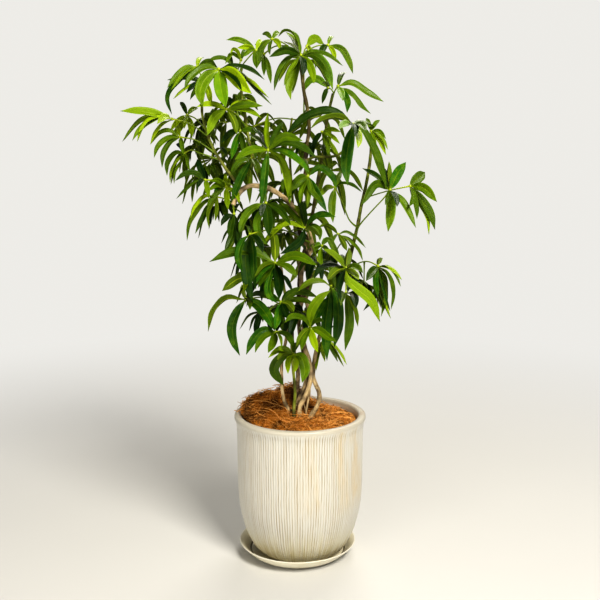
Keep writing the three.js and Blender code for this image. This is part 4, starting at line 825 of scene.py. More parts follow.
class Nodes:
    """Adds nodes to a tree and links them up."""

    def __init__(self, tree):
        self.tree = tree

    def feed(self, socket, value):
        if isinstance(value, Value):
            self.tree.links.new(value.socket, socket)
        elif isinstance(value, bpy.types.NodeSocket):
            self.tree.links.new(value, socket)
        elif socket.type == "RGBA" and len(value) == 3:
            socket.default_value = (*value, 1)
        elif socket.type == "VECTOR" and isinstance(value, (int, float)):
            socket.default_value = (value, value, value)
        else:
            socket.default_value = value

    def add(self, kind, settings, inputs):
        node = self.tree.nodes.new(kind)
        for name, value in settings.items():
            setattr(node, name, value)
        for key, value in inputs.items():
            self.feed(node.inputs[key], value)
        return node

    def out(self, node, key=0):
        return Value(self, node.outputs[key])

    def get(self, kind, settings, inputs, key=0):
        return self.out(self.add(kind, settings, inputs), key)

    def maths(self, operation, first, second=0.0, third=0.0):
        vectors = [isinstance(value, Value) and value.vector for value in (first, second)]
        if not any(vectors):
            inputs = {0: first, 1: second, 2: third}
            return self.get("ShaderNodeMath", {"operation": operation}, inputs)
        if operation == "MULTIPLY" and not all(vectors):
            vector, scale = (first, second) if vectors[0] else (second, first)
            if isinstance(scale, (Value, int, float)):
                return self.get("ShaderNodeVectorMath", {"operation": "SCALE"}, {0: vector, "Scale": scale})
        return self.get("ShaderNodeVectorMath", {"operation": operation}, {0: first, 1: second})

    def dot(self, first, second):
        settings = {"operation": "DOT_PRODUCT"}
        return self.get("ShaderNodeVectorMath", settings, {0: first, 1: second}, "Value")

    def unit(self, vector):
        return self.get("ShaderNodeVectorMath", {"operation": "NORMALIZE"}, {0: vector})

    def cross(self, first, second):
        return self.get("ShaderNodeVectorMath", {"operation": "CROSS_PRODUCT"}, {0: first, 1: second})

    def vector(self, x, y, z):
        return self.get("ShaderNodeCombineXYZ", {}, {0: x, 1: y, 2: z})

    def ramp(self, value, low, high, to_low=0.0, to_high=1.0, smooth=True):
        settings = {"interpolation_type": "SMOOTHSTEP" if smooth else "LINEAR"}
        inputs = {"Value": value, "From Min": low, "From Max": high, "To Min": to_low, "To Max": to_high}
        return self.get("ShaderNodeMapRange", settings, inputs)

    def mix(self, factor, first, second):
        """A mix of two colours."""
        settings = {"data_type": "RGBA", "clamp_factor": True}
        return self.get("ShaderNodeMix", settings, {0: factor, 6: first, 7: second}, 2)

    def noise(self, place, scale, detail=2.0, roughness=0.5):
        inputs = {"Vector": place, "Scale": scale, "Detail": detail, "Roughness": roughness}
        return self.get("ShaderNodeTexNoise", {"noise_dimensions": "3D"}, inputs)

    def curve(self, value, points):
        node = self.add("ShaderNodeFloatCurve", {}, {"Value": value})
        line = node.mapping.curves[0]
        line.points[0].location = points[0]
        line.points[1].location = points[-1]
        for point in points[1:-1]:
            line.points.new(*point)
        node.mapping.update()
        return self.out(node)


class Finish(Nodes):
    """A material with one Principled shader."""

    def __init__(self, name, roughness=0.5, specular=0.5, coat=0.0):
        self.material = bpy.data.materials.new(name)
        self.material.use_nodes = True
        super().__init__(self.material.node_tree)
        self.tree.nodes.clear()
        constants = {
            "Roughness": roughness,
            "Specular IOR Level": specular,
            "Coat Weight": coat,
            "Coat Roughness": COAT_ROUGHNESS,
        }
        self.shader = self.add("ShaderNodeBsdfPrincipled", {}, constants)
        self.add("ShaderNodeOutputMaterial", {}, {"Surface": self.shader.outputs[0]})
        self.place = self.get("ShaderNodeTexCoord", {}, {}, "Object")

    def attribute(self, name):
        return self.get("ShaderNodeAttribute", {"attribute_name": name}, {}, "Vector")

    def number(self, name):
        return self.get("ShaderNodeAttribute", {"attribute_name": name}, {}, "Fac")

    def colour(self, value):
        self.feed(self.shader.inputs["Base Color"], value)

    def roughness(self, value):
        self.feed(self.shader.inputs["Roughness"], value)

    def relief(self, height, depth, strength=1.0):
        inputs = {"Height": height, "Distance": depth, "Strength": strength}
        self.feed(self.shader.inputs["Normal"], self.get("ShaderNodeBump", {}, inputs))


class Shape(Nodes):
    """A geometry node tree with named inputs, which ends in Realize Instances and Set Material."""

    def __init__(self, name, sizes):
        tree = bpy.data.node_groups.new(name, "GeometryNodeTree")
        super().__init__(tree)
        tree.interface.new_socket("Geometry", in_out="INPUT", socket_type="NodeSocketGeometry")
        tree.interface.new_socket("Geometry", in_out="OUTPUT", socket_type="NodeSocketGeometry")
        for key, value in sizes.items():
            kind = "Int" if isinstance(value, int) else "Float"
            socket = tree.interface.new_socket(key, in_out="INPUT", socket_type="NodeSocket" + kind)
            socket.default_value = value
        tree.interface.new_socket("Material", in_out="INPUT", socket_type="NodeSocketMaterial")
        self.group = tree.nodes.new("NodeGroupInput")

    def size(self, name):
        return Value(self, self.group.outputs[name])

    def named(self, name, kind="FLOAT"):
        settings = {"data_type": kind}
        return self.get("GeometryNodeInputNamedAttribute", settings, {"Name": name}, "Attribute")

    def store(self, geometry, name, value, kind="FLOAT", domain="POINT"):
        settings = {"data_type": kind, "domain": domain}
        inputs = {"Geometry": geometry, "Name": name, "Value": value}
        return self.get("GeometryNodeStoreNamedAttribute", settings, inputs)

    def move(self, geometry, offset):
        return self.get("GeometryNodeSetPosition", {}, {"Geometry": geometry, "Offset": offset})

    def index(self):
        return self.get("GeometryNodeInputIndex", {}, {})

    def position(self):
        return self.get("GeometryNodeInputPosition", {}, {})

    def join(self, *parts):
        node = self.tree.nodes.new("GeometryNodeJoinGeometry")
        for part in reversed(parts):
            self.feed(node.inputs[0], part)
        return self.out(node)

    def ring(self, sides):
        inputs = {"Resolution": sides, "Radius": 1.0}
        return self.get("GeometryNodeCurvePrimitiveCircle", {"mode": "RADIUS"}, inputs)

    def skinned(self, curve, ring, girth):
        """A closed tube along each curve, as thick as girth says at each point."""
        inputs = {"Curve": curve, "Profile Curve": ring, "Scale": girth, "Fill Caps": True}
        return self.get("GeometryNodeCurveToMesh", {}, inputs)

    def random(self, low, high, item, seed):
        """A steady random number for each item."""
        inputs = {2: low, 3: high, "ID": item, "Seed": seed}
        return self.get("FunctionNodeRandomValue", {"data_type": "FLOAT"}, inputs, 1)

    def material(self, name):
        self.tree.interface.new_socket(name, in_out="INPUT", socket_type="NodeSocketMaterial")
        return self.group.outputs[name]

    def painted(self, geometry, material, chosen=True):
        inputs = {"Geometry": geometry, "Selection": chosen, "Material": material}
        return self.get("GeometryNodeSetMaterial", {}, inputs)

    def finish(self, geometry, chosen=True):
        solid = self.get("GeometryNodeRealizeInstances", {}, {"Geometry": geometry})
        output = self.tree.nodes.new("NodeGroupOutput")
        self.feed(output.inputs[0], self.painted(solid, self.group.outputs["Material"], chosen))
        return self.tree


def plain_mesh(name, build):
    """The mesh of a finished bmesh."""
    mesh = bpy.data.meshes.new(name)
    build.to_mesh(mesh)
    build.free()
    return mesh


def new_object(name, mesh):
    piece = bpy.data.objects.new(name, mesh)
    bpy.context.scene.collection.objects.link(piece)
    return piece


def shaped(name, mesh, tree, values):
    """The mesh that a node tree makes of another one, as a plain mesh."""
    source = new_object(name + "_source", mesh)
    modifier = source.modifiers.new("Shape", "NODES")
    modifier.node_group = tree
    for item in tree.interface.items_tree:
        if item.in_out == "INPUT" and item.name in values:
            modifier[item.identifier] = values[item.name]
    depsgraph = bpy.context.evaluated_depsgraph_get()
    result = bpy.data.meshes.new_from_object(
        source.evaluated_get(depsgraph), preserve_all_data_layers=True, depsgraph=depsgraph
    )
    source.modifiers.remove(modifier)
    bpy.data.objects.remove(source)
    result.name = name
    result.shade_smooth()
    return result


def settle(name, mesh, slot, *nodes):
    """Puts a finished piece in the plant in place of its CAD nodes."""
    piece = new_object(name, mesh)
    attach(piece, "root")
    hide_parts(*nodes)
    return piece


def path_mesh(name, paths):
    """A mesh of open chains and lone points, with what the node trees read at each point.

    Each path holds its kind, its places in millimetres, its girth, faces and looks at each place.
    """
    points = []
    edges = []
    kinds = []
    girths = []
    faces = []
    looks = []
    for path in paths:
        start = len(points)
        count = len(path["places"])
        points += [place * MM for place in path["places"]]
        edges += [(start + at, start + at + 1) for at in range(count - 1)]
        kinds += [path["kind"]] * count
        girths += [girth * MM for girth in path["girths"]]
        faces += path.get("faces") or [Vector((0, 0, 1))] * count
        looks += path["looks"]
    mesh = bpy.data.meshes.new(name)
    mesh.from_pydata(points, edges, [])
    mesh.attributes.new("kind", "INT", "POINT").data.foreach_set("value", kinds)
    mesh.attributes.new("girth", "FLOAT", "POINT").data.foreach_set("value", girths)
    for key, vectors in (("face", faces), ("look", looks)):
        flat = [number for vector in vectors for number in vector]
        mesh.attributes.new(key, "FLOAT_VECTOR", "POINT").data.foreach_set("vector", flat)
    return mesh


# ---- Turned pieces: the saucer and the pot ----
def turned_mesh(name, stretches, segments, axis_x):
    """A closed mesh turned round an upright axis from a half profile of (places, steps, side) stretches.

    It keeps how far round each point is, and its side: 1 on a ribbed wall, -1 inside and 0 elsewhere.
    """
    outline = []
    for stops, steps, side in stretches:
        places = smooth_path([Vector((radius, 0, height)) for radius, height in stops], steps)
        outline += [(place, side) for place in (places if not outline else places[1:])]
    closed = (outline[0][0] - outline[-1][0]).length < 1e-6
    if closed:
        outline.pop()
    build = bmesh.new()
    around_layer = build.verts.layers.float.new("around")
    side_layer = build.verts.layers.float.new("side")
    rings = []
    for place, side in outline:
        on_axis = place.x < 1e-6
        ring = []
        for at in range(1 if on_axis else segments):
            angle = 2 * math.pi * (at / segments + 0.25)
            spot = (axis_x + place.x * math.cos(angle), place.x * math.sin(angle), place.z)
            vertex = build.verts.new(Vector(spot) * MM)
            vertex[around_layer] = at / segments
            vertex[side_layer] = side
            ring.append(vertex)
        rings.append(ring)
    pairs = list(zip(rings, rings[1:]))
    if closed:
        pairs.append((rings[-1], rings[0]))
    for low, high in pairs:
        for at in range(segments):
            after = (at + 1) % segments
            corners = [low[at % len(low)], low[after % len(low)]]
            corners += [high[after % len(high)], high[at % len(high)]]
            build.faces.new(list(dict.fromkeys(corners)))
    bmesh.ops.recalc_face_normals(build, faces=build.faces)
    return plain_mesh(name, build)


def saucer_finish(colours):
    """Cream glaze with dark specks at the foot, the rim's edge painted to set how bright its lit edge
    looks, and painted shade with grime in the groove round the floor.
    """
    glaze = Finish("saucer_glaze", roughness=0.32, specular=0.5, coat=0.25)
    x, y, z = glaze.place.xyz
    radius = (x * x + y * y) ** 0.5
    cloud = glaze.noise(glaze.place, 22.0, 3.0)
    speck = glaze.noise(glaze.place, 240.0, 2.0)
    base = glaze.mix(glaze.ramp(cloud, 0.35, 0.7), colours.glaze, colours.shade)
    # Painted shade with grime: a dark ring in the groove round the floor.
    ring = glaze.ramp(radius, 0.0885, 0.0903) * glaze.ramp(radius, 0.0935, 0.0918)
    inside = glaze.ramp(z, 0.0105, 0.0085) * glaze.ramp(z, 0.002, 0.004)
    base = glaze.mix(ring * inside * glaze.ramp(cloud, 0.2, 0.5, 0.5, 1.0), base, colours.dirt_and_shade)
    # Painted light: the rim's top edge gets its own colour, darker than the glaze, to set how bright its
    # lit edge looks.
    edge = glaze.ramp(z, 0.0255, 0.0275)
    base = glaze.mix(edge * 0.8, base, colours.edge)
    # Dark specks near the bottom.
    foot = glaze.ramp(z, 0.006, 0.0)
    base = glaze.mix(foot * glaze.ramp(speck, 0.35, 0.6, 0.2, 0.55), base, colours.dirt_and_shade)
    glaze.colour(base)
    glaze.roughness(glaze.ramp(cloud, 0.3, 0.7, 0.28, 0.4))
    glaze.relief(cloud + speck * 0.12, 0.0012, 0.5)
    return glaze.material


def pot_finish(colours):
    """Ivory glaze that pools beige in the grooves, with amber and grey streaks down the wall, painted shade
    on the lip and painted light on the inner wall.
    """
    glaze = Finish("pot_glaze", roughness=0.4, specular=0.5, coat=0.15)
    x, y, z = glaze.place.xyz
    groove = glaze.number("groove")
    shade = glaze.number("rib_shade")
    side = glaze.number("side")
    ribbed = glaze.ramp(side, 0.0, 1.0, smooth=False) * glaze.ramp(z, RIB_TOP + 0.002, RIB_TOP - 0.006)
    out = glaze.unit(glaze.vector(x - POT_AXIS_X * MM, y, 0.0))
    wall_x, wall_y, _ = out.xyz
    streak = glaze.noise(glaze.vector(wall_x, wall_y, z * 0.35), 26.0, 3.0, 0.65)
    thin_streak = glaze.noise(glaze.vector(wall_x, wall_y, z * 0.5), 75.0, 2.0, 0.6)
    wide_streak = glaze.noise(glaze.vector(wall_x, wall_y, z * 1.4), 3.4, 3.0, 0.6)
    patch = glaze.noise(glaze.place, 11.0, 2.0)
    crest = glaze.ramp(shade, -0.3, 0.35) * ribbed
    body = glaze.mix(crest, colours.glaze, colours.crest)
    # Painted shade on the lip: its glaze is darker than the wall's to hold down the light that its top
    # catches.
    lip = glaze.ramp(z, RIB_TOP - 0.003, RIB_TOP + 0.001)
    body = glaze.mix(lip * glaze.ramp(patch, 0.3, 0.6, 0.7, 1.0), body, colours.lip)
    body = glaze.mix(glaze.ramp(streak, 0.57, 0.75) * ribbed * 0.15, body, colours.streak)
    body = glaze.mix(glaze.ramp(thin_streak, 0.57, 0.72) * ribbed * 0.25, body, colours.streak)
    amber = glaze.ramp(wide_streak, 0.45, 0.62) * glaze.ramp(x, -0.01, 0.06, 0.1, 1.0)
    amber = amber * glaze.ramp(z, 0.1, 0.15) * ribbed
    body = glaze.mix(amber * glaze.ramp(thin_streak, 0.35, 0.6, 0.35, 1.0) * 0.5, body, colours.amber)
    pooled = groove * glaze.ramp(thin_streak, 0.3, 0.55, 0.45, 1.0)
    body = glaze.mix(pooled * ribbed, body, colours.groove)
    low = glaze.ramp(z, 0.1, 0.015) * glaze.ramp(streak, 0.35, 0.65, 0.35, 1.0)
    body = glaze.mix(low * 0.75, body, colours.low)
    run = glaze.ramp(z, 0.085, 0.02) * glaze.ramp(streak, 0.5, 0.62)
    body = glaze.mix(run * 0.45, body, colours.groove)
    grain = glaze.noise(glaze.place, 420.0, 3.0, 0.7)
    worn = glaze.ramp(z, 0.2745, 0.279) * glaze.ramp(x, 0.03, 0.12) * glaze.ramp(patch, 0.46, 0.6, 0.1, 1.0)
    body = glaze.mix(worn * glaze.ramp(grain, 0.42, 0.62, 0.0, 0.7), body, colours.wear)
    # Painted light inside: the warm pinkish inner wall is coloured lighter to stand in for the light that
    # reaches it.
    body = glaze.mix(glaze.ramp(side, 0.0, -1.0, smooth=False), body, colours.inside)
    glaze.colour(body)
    glaze.roughness(glaze.ramp(streak, 0.3, 0.7, 0.34, 0.52))
    glaze.relief(thin_streak * ribbed + grain * 0.1, 0.0005, 0.4)
    return glaze.material


def rib_tree(sizes):
    """Even ribs round the wall. Their grooves wander a little and fade in and out."""
    shape = Shape("Pot ribs", {"Ribs": sizes.ribs, "Rib height": sizes.rib_height, "Seed": 4})
    mesh = shape.group.outputs["Geometry"]
    x, y, z = shape.position().xyz
    around = shape.named("around")
    ribbed = shape.ramp(shape.named("side"), 0.0, 1.0, smooth=False)
    ribbed = ribbed * shape.ramp(z, RIB_TOP, RIB_TOP - 0.005)
    seed = shape.size("Seed")
    outward = shape.unit(shape.vector(x - POT_AXIS_X * MM, y, 0.0))
    wall_x, wall_y, _ = outward.xyz
    slow = shape.noise(shape.vector(wall_x, wall_y, z * 4.0), 6.0, 2.0)
    where = around * shape.size("Ribs") + (slow - 0.5) * 0.8
    edge = 0.5 - shape.maths("ABSOLUTE", shape.maths("FRACT", where) - 0.5)
    fading = shape.noise(shape.vector(wall_x * 40.0, wall_y * 40.0, z * 9.0), 1.0, 2.0)
    depth = shape.ramp(fading, 0.3, 0.6, 0.3, 1.0)
    groove = shape.ramp(edge, 0.2, 0.04) * depth * ribbed
    shade = shape.random(0.0, 1.0, shape.maths("FLOOR", where), seed)
    crown = shape.ramp(edge, 0.0, 0.4) + (shade - 0.5) * 0.3
    rise = (crown * 0.8 - groove * 1.3) * shape.size("Rib height") * ribbed
    grown = shape.store(mesh, "groove", groove)
    grown = shape.store(grown, "rib_shade", shade)
    return shape.finish(shape.move(grown, outward * rise))


# ---- The mulch ----
def mulch_height(x, y):
    """Height in millimetres above the floor at an offset from the pot's axis."""
    height = MULCH_BED_Z
    for heap_x, heap_y, rise, spread_x, spread_y in MULCH_HEAPS:
        away = ((x - heap_x) / spread_x) ** 2 + ((y - heap_y) / spread_y) ** 2
        height += rise * math.exp(-away / 2)
    beside = math.dist((x + POT_AXIS_X, y), MULCH_HOLLOW)
    return height - MULCH_HOLLOW_DEPTH * math.exp(-((beside / MULCH_HOLLOW_SPREAD) ** 2))


def mulch_mesh(name):
    """The lumpy body of the mulch, closed below."""
    build = bmesh.new()
    top = []
    for ring in range(MULCH_RINGS + 1):
        radius = MULCH_RADIUS * (ring / MULCH_RINGS) ** 0.9
        row = []
        for at in range(1 if ring == 0 else MULCH_SIDES):
            angle = 2 * math.pi * at / MULCH_SIDES
            x = radius * math.cos(angle)
            y = radius * math.sin(angle)
            edge = MULCH_EDGE_DROP * max(0.0, (radius / MULCH_RADIUS - MULCH_EDGE) / (1 - MULCH_EDGE)) ** 2
            lumps = sum(
                rise * noise.noise(Vector((x, y, level)) / spacing) for rise, spacing, level in MULCH_LUMPS
            )
            height = mulch_height(x, y) - edge - MULCH_SINK + lumps * (1 - 0.6 * ring / MULCH_RINGS)
            row.append(build.verts.new(Vector((x + POT_AXIS_X, y, height)) * MM))
        top.append(row)
    foot = [build.verts.new(Vector((vertex.co.x, vertex.co.y, MULCH_BOTTOM_Z * MM))) for vertex in top[-1]]
    for low, high in zip(top, top[1:] + [foot]):
        for at in range(MULCH_SIDES):
            after = (at + 1) % MULCH_SIDES
            corners = [low[at % len(low)], high[at], high[after], low[after % len(low)]]
            build.faces.new(list(dict.fromkeys(corners)))
    build.faces.new(list(reversed(foot)))
    bmesh.ops.recalc_face_normals(build, faces=build.faces)
    return plain_mesh(name, build)


def coir_finish(colours, name, spread):
    """Husk fibre: orange brown, each strand with its own tint, with painted shade in the heap's gaps and
    behind the stems' feet and painted light on its right.
    """
    coir = Finish(name, roughness=0.75, specular=0.1)
    strand = coir.number("strand")
    along = coir.number("along")
    tuft = coir.noise(coir.place, 34.0, 3.0, 0.6)
    fine = coir.noise(coir.place, 300.0, 2.0, 0.6)
    x, y, _ = coir.place.xyz
    # Painted light: the heap grows lighter towards the right, where the light falls.
    painted_light_right = coir.ramp(x + tuft * 0.06, -0.02, 0.07)
    # Painted shade: dark patches among the tufts stand for the shade in the heap's gaps.
    base = coir.mix(coir.ramp(tuft + painted_light_right * 0.05, 0.42, 0.56), colours.dark, colours.fibre)
    base = coir.mix(coir.ramp(strand + painted_light_right * 0.3, 0.6, 1.15) * spread, base, colours.light)
    base = coir.mix(coir.ramp(strand, 0.25, 0.05) * (0.75 * spread), base, colours.dark)
    base = coir.mix(coir.ramp(fine, 0.45, 0.75, 0.0, 0.4), base, colours.light)
    base = coir.mix(coir.ramp(along, 0.7, 1.0, 0.0, 0.3) * spread, base, colours.light)
    # Painted shadow: the mulch behind the stems' feet is darkened for the shade between them.
    hollow_x, hollow_y = MULCH_HOLLOW
    beside = ((x - hollow_x * MM) ** 2.0 + (y - hollow_y * MM) ** 2.0) ** 0.5
    base = coir.mix(coir.ramp(beside + tuft * 0.012, 0.044, 0.022) * 0.92, base, colours.dark)
    coir.colour(base)
    coir.roughness(coir.ramp(fine, 0.3, 0.7, 0.65, 0.9))
    coir.relief(fine, 0.0008, 0.5)
    return coir.material


def fibre_tree(sizes):
    """Curled fibres that grow from the top of a body and lie over each other."""
    names = {
        "Fibres": sizes.fibres,
        "Fibre length": sizes.fibre_length,
        "Fibre radius": sizes.fibre_radius,
        "Curl": 0.016,
        "Stand": 0.4,
        "Seed": 11,
    }
    shape = Shape("Coir fibres", names)
    body = shape.group.outputs["Geometry"]
    seed = shape.size("Seed")
    normal = shape.get("GeometryNodeInputNormal", {}, {})
    upward = shape.dot(normal, Vector((0, 0, 1)))
    steep = {"data_type": "FLOAT", "operation": "GREATER_THAN"}
    facing_up = shape.get("FunctionNodeCompare", steep, {0: upward, 1: 0.4})
    area = math.pi * (MULCH_RADIUS * MM) ** 2 * 1.12
    scatter = shape.add(
        "GeometryNodeDistributePointsOnFaces",
        {"distribute_method": "RANDOM"},
        {"Mesh": body, "Selection": facing_up, "Density": shape.size("Fibres") / area, "Seed": seed},
    )
    points = shape.out(scatter, "Points")
    points = shape.store(points, "seat", shape.out(scatter, "Normal"), "FLOAT_VECTOR")
    points = shape.store(points, "strand", shape.random(0.0, 1.0, shape.index(), seed))
    line = shape.get("GeometryNodeCurvePrimitiveLine", {}, {"Start": (0, 0, 0), "End": (0, 0, 1)})
    line = shape.get("GeometryNodeResampleCurve", {"mode": "COUNT"}, {"Curve": line, "Count": 7})
    share = shape.get("GeometryNodeSplineParameter", {}, {}, "Factor")
    line = shape.store(line, "along", share)
    placed = shape.get("GeometryNodeInstanceOnPoints", {}, {"Points": points, "Instance": line})
    strands = shape.get("GeometryNodeRealizeInstances", {}, {"Geometry": placed})
    strand = shape.named("strand")
    along = shape.named("along")
    seat = shape.named("seat", "FLOAT_VECTOR")
    root = shape.position() - shape.vector(0.0, 0.0, along)
    turn = strand * 977.0
    heading = shape.vector(
        shape.maths("SINE", turn), shape.maths("COSINE", turn), shape.maths("SINE", turn * 3.7) * 0.3
    )
    lying = shape.unit(heading - seat * shape.dot(heading, seat))
    lift = shape.maths("FRACT", strand * 53.0) * shape.size("Stand")
    arch = along * (1.0 - along) * 4.0
    length = shape.size("Fibre length") * (shape.maths("FRACT", strand * 31.0) * 0.9 + 0.4)
    path = lying * ((along - 0.5) * length) + seat * ((lift * arch * 0.5 + along * lift * 0.5) * length)
    swirl = shape.get(
        "ShaderNodeTexNoise",
        {"noise_dimensions": "4D"},
        {"Vector": root + path, "W": strand * 40.0, "Scale": 45.0, "Detail": 2.0},
        "Color",
    )
    swing = (swirl - Vector((0.5, 0.5, 0.5))) * Vector((1.0, 1.0, 0.55))
    curled = root + path + swing * (shape.size("Curl") * 2.0)
    x, y, z = curled.xyz
    x = x - POT_AXIS_X * MM
    radius = (x * x + y * y) ** 0.5
    over = shape.ramp(x / radius, 0.1, -0.7, 0.1085, 0.131)
    most = shape.ramp(z, 0.2805, 0.2835, 0.1062, over, smooth=False)
    inside = shape.maths("MINIMUM", radius, most) / radius
    kept = shape.vector(x * inside + POT_AXIS_X * MM, y * inside, z)
    strands = shape.get("GeometryNodeSetPosition", {}, {"Geometry": strands, "Position": kept})
    thick = shape.maths("FRACT", strand * 17.0) ** 2.0
    girth = shape.size("Fibre radius") * (1.1 - along * 0.5) * (0.75 + thick * 1.3)
    return shape.finish(shape.skinned(strands, shape.ring(3), girth))


# ---- Stems ----
def bark_finish(colours, name):
    """Bark with leaf scars: pale tan to dark brown, green where the wood is young."""
    bark = Finish(name, roughness=0.7, specular=0.35)
    look = bark.attribute("look")
    pale, green, _ = look.xyz
    along = bark.number("along")
    around = bark.number("around")
    turn = around * (2 * math.pi)
    side, front = bark.maths("SINE", turn), bark.maths("COSINE", turn)
    wrapped = bark.vector(side * 0.006, front * 0.006, along * 0.14)
    grain = bark.noise(wrapped, 330.0, 3.0, 0.6)
    fine = bark.noise(wrapped, 1400.0, 2.0, 0.7)
    patch = bark.noise(bark.place, 60.0, 3.0, 0.6)
    shade = pale + (patch - 0.5) * 1.9 + (grain - 0.5) * 1.5
    wood = bark.mix(bark.ramp(shade, 0.05, 0.95), colours.dark, colours.pale)
    wood = bark.mix(bark.ramp(grain, 0.53, 0.7) * 0.75, wood, colours.crack)
    wood = bark.mix(bark.ramp(patch, 0.55, 0.75) * pale * 0.4, wood, colours.bloom)
    young = bark.mix(bark.ramp(patch, 0.3, 0.7), colours.green, colours.green_light)
    skin = bark.mix(bark.ramp(green + (grain - 0.5) * 0.5, 0.25, 0.75), wood, young)
    scar = bark.number("scar")
    skin = bark.mix(scar * 0.65, skin, colours.crack)
    bark.colour(skin)
    bark.roughness(bark.ramp(grain, 0.3, 0.7, 0.55, 0.85))
    bark.relief(grain + fine * 0.3 - scar * 0.6, 0.0009, 0.7)
    return bark.material


def stem_tree(sizes):
    """Round wood along a path, swollen at the leaf scars and uneven all the way."""
    names = {
        "Ring spacing": sizes.ring_spacing,
        "Sides": sizes.sides,
        "Unevenness": sizes.unevenness,
        "Seed": 3,
    }
    shape = Shape("Stem along its path", names)
    mesh = shape.group.outputs["Geometry"]
    curve = shape.get("GeometryNodeMeshToCurve", {}, {0: mesh})
    curve = shape.get("GeometryNodeCurveSplineType", {"spline_type": "CATMULL_ROM"}, {0: curve})
    inputs = {"Curve": curve, "Length": shape.size("Ring spacing")}
    curve = shape.get("GeometryNodeResampleCurve", {"mode": "LENGTH"}, inputs)
    along = shape.get("GeometryNodeSplineParameter", {}, {}, "Length")
    curve = shape.store(curve, "along", along)
    look = shape.named("look", "FLOAT_VECTOR").xyz
    stray = shape.noise(shape.vector(along * 9.0, look[2] * 5.0, 0.0), 1.0) * 2.0
    beat = along * 62.0 + look[2] * 7.0 + stray
    scar = shape.maths("POWER", shape.maths("ABSOLUTE", shape.maths("SINE", beat)), 14.0)
    curve = shape.store(curve, "scar", scar)
    swell = shape.noise(shape.vector(along * 26.0, look[2] * 9.0, 0.0), 1.0)
    girth = shape.named("girth") * (1.0 + (swell - 0.5) * 0.5 + scar * 0.12)
    ring = shape.ring(shape.size("Sides"))
    turn = shape.index() / shape.size("Sides")
    ring = shape.store(ring, "around", turn)
    skin = shape.skinned(curve, ring, girth)
    normal = shape.get("GeometryNodeInputNormal", {}, {})
    rough = shape.noise(shape.position(), 120.0, 3.0, 0.6)
    return shape.finish(shape.move(skin, normal * ((rough - 0.5) * shape.size("Unevenness"))))


# ---- Leaves ----
def blade_finish(colours):
    """Leaf blade: green by its tone, which also paints light and shade, a painted sheen on some, a pale
    midrib, side veins and a dull underside.
    """
    leaf = Finish("leaf_blade", roughness=0.3, specular=0.24)
    across, along, upper = leaf.attribute("blade").xyz
    tone, sheen, chance = leaf.attribute("look").xyz
    off = leaf.maths("ABSOLUTE", across)
    tone = tone + (chance - 0.5) * 0.16
    usual = leaf.mix(leaf.ramp(sheen, 0.0, -1.0), colours.middle, colours.cool)
    # The tone picks the green, and so paints the light and shade where each leaflet lies.
    top = leaf.mix(leaf.ramp(tone, 0.0, 0.5, smooth=False), colours.dark, usual)
    top = leaf.mix(leaf.ramp(tone, 0.5, 1.0, smooth=False), top, colours.bright)
    # Painted grey-green sheen on leaflets whose sheen is above 0, as in the "pale" tone.
    top = leaf.mix(sheen * 0.6, top, colours.pale)
    mottle = leaf.noise(leaf.place, 70.0, 3.0, 0.6)
    lively = leaf.ramp(tone, 0.0, 0.6, 0.15, 1.0)
    top = leaf.mix(leaf.ramp(mottle, 0.4, 0.75) * lively * 0.3, top, colours.bright)
    vein_beat = leaf.maths("SINE", (along * 34.0 - off * 5.0) * (2 * math.pi))
    vein = leaf.ramp(vein_beat, 0.75, 1.0) * leaf.ramp(off, 0.95, 0.7) * leaf.ramp(along, 0.1, 0.2)
    top = leaf.mix(vein * lively * 0.16, top, colours.bright)
    rib_width = leaf.ramp(along, 0.0, 1.0, 0.16, 0.03, smooth=False)
    rib = leaf.ramp(off / rib_width, 1.0, 0.35)
    top = leaf.mix(rib * leaf.ramp(tone, 0.0, 0.7, 0.06, 0.28), top, colours.rib)
    base = leaf.ramp(along, 0.15, 0.03)
    top = leaf.mix(base * lively * 0.4, top, colours.rib)
    margin = leaf.ramp(off, 0.9, 1.0)
    top = leaf.mix(margin * lively * 0.12, top, colours.rib)
    under = leaf.mix(leaf.ramp(tone, 0.0, 1.0) * 0.35, colours.underside, colours.bright)
    under = leaf.mix(leaf.ramp(off / rib_width, 1.3, 0.5) * 0.7, under, colours.rib)
    leaf.colour(leaf.mix(upper, under, top))
    gloss = leaf.ramp(mottle, 0.3, 0.7, 0.36, 0.48)
    leaf.roughness(leaf.maths("MULTIPLY_ADD", 1.0 - upper, 0.25, gloss))
    leaf.relief(vein * 0.5 - rib * 0.8 + mottle * 0.25, 0.0007, 0.6)
    return leaf.material


def stalk_finish(colours):
    """Leaf stalk: green, paler and yellower towards the hub."""
    stalk = Finish("leaf_stalk", roughness=0.42, specular=0.45)
    pale, _, chance = stalk.attribute("look").xyz
    grain = stalk.noise(stalk.place, 160.0, 2.0)
    shade = pale + (grain - 0.5) * 0.5 + (chance - 0.5) * 0.3
    stalk.colour(stalk.mix(stalk.ramp(shade, 0.0, 1.0), colours.stalk, colours.rib))
    stalk.roughness(stalk.ramp(grain, 0.3, 0.7, 0.35, 0.55))
    stalk.relief(grain, 0.0004, 0.4)
    return stalk.material


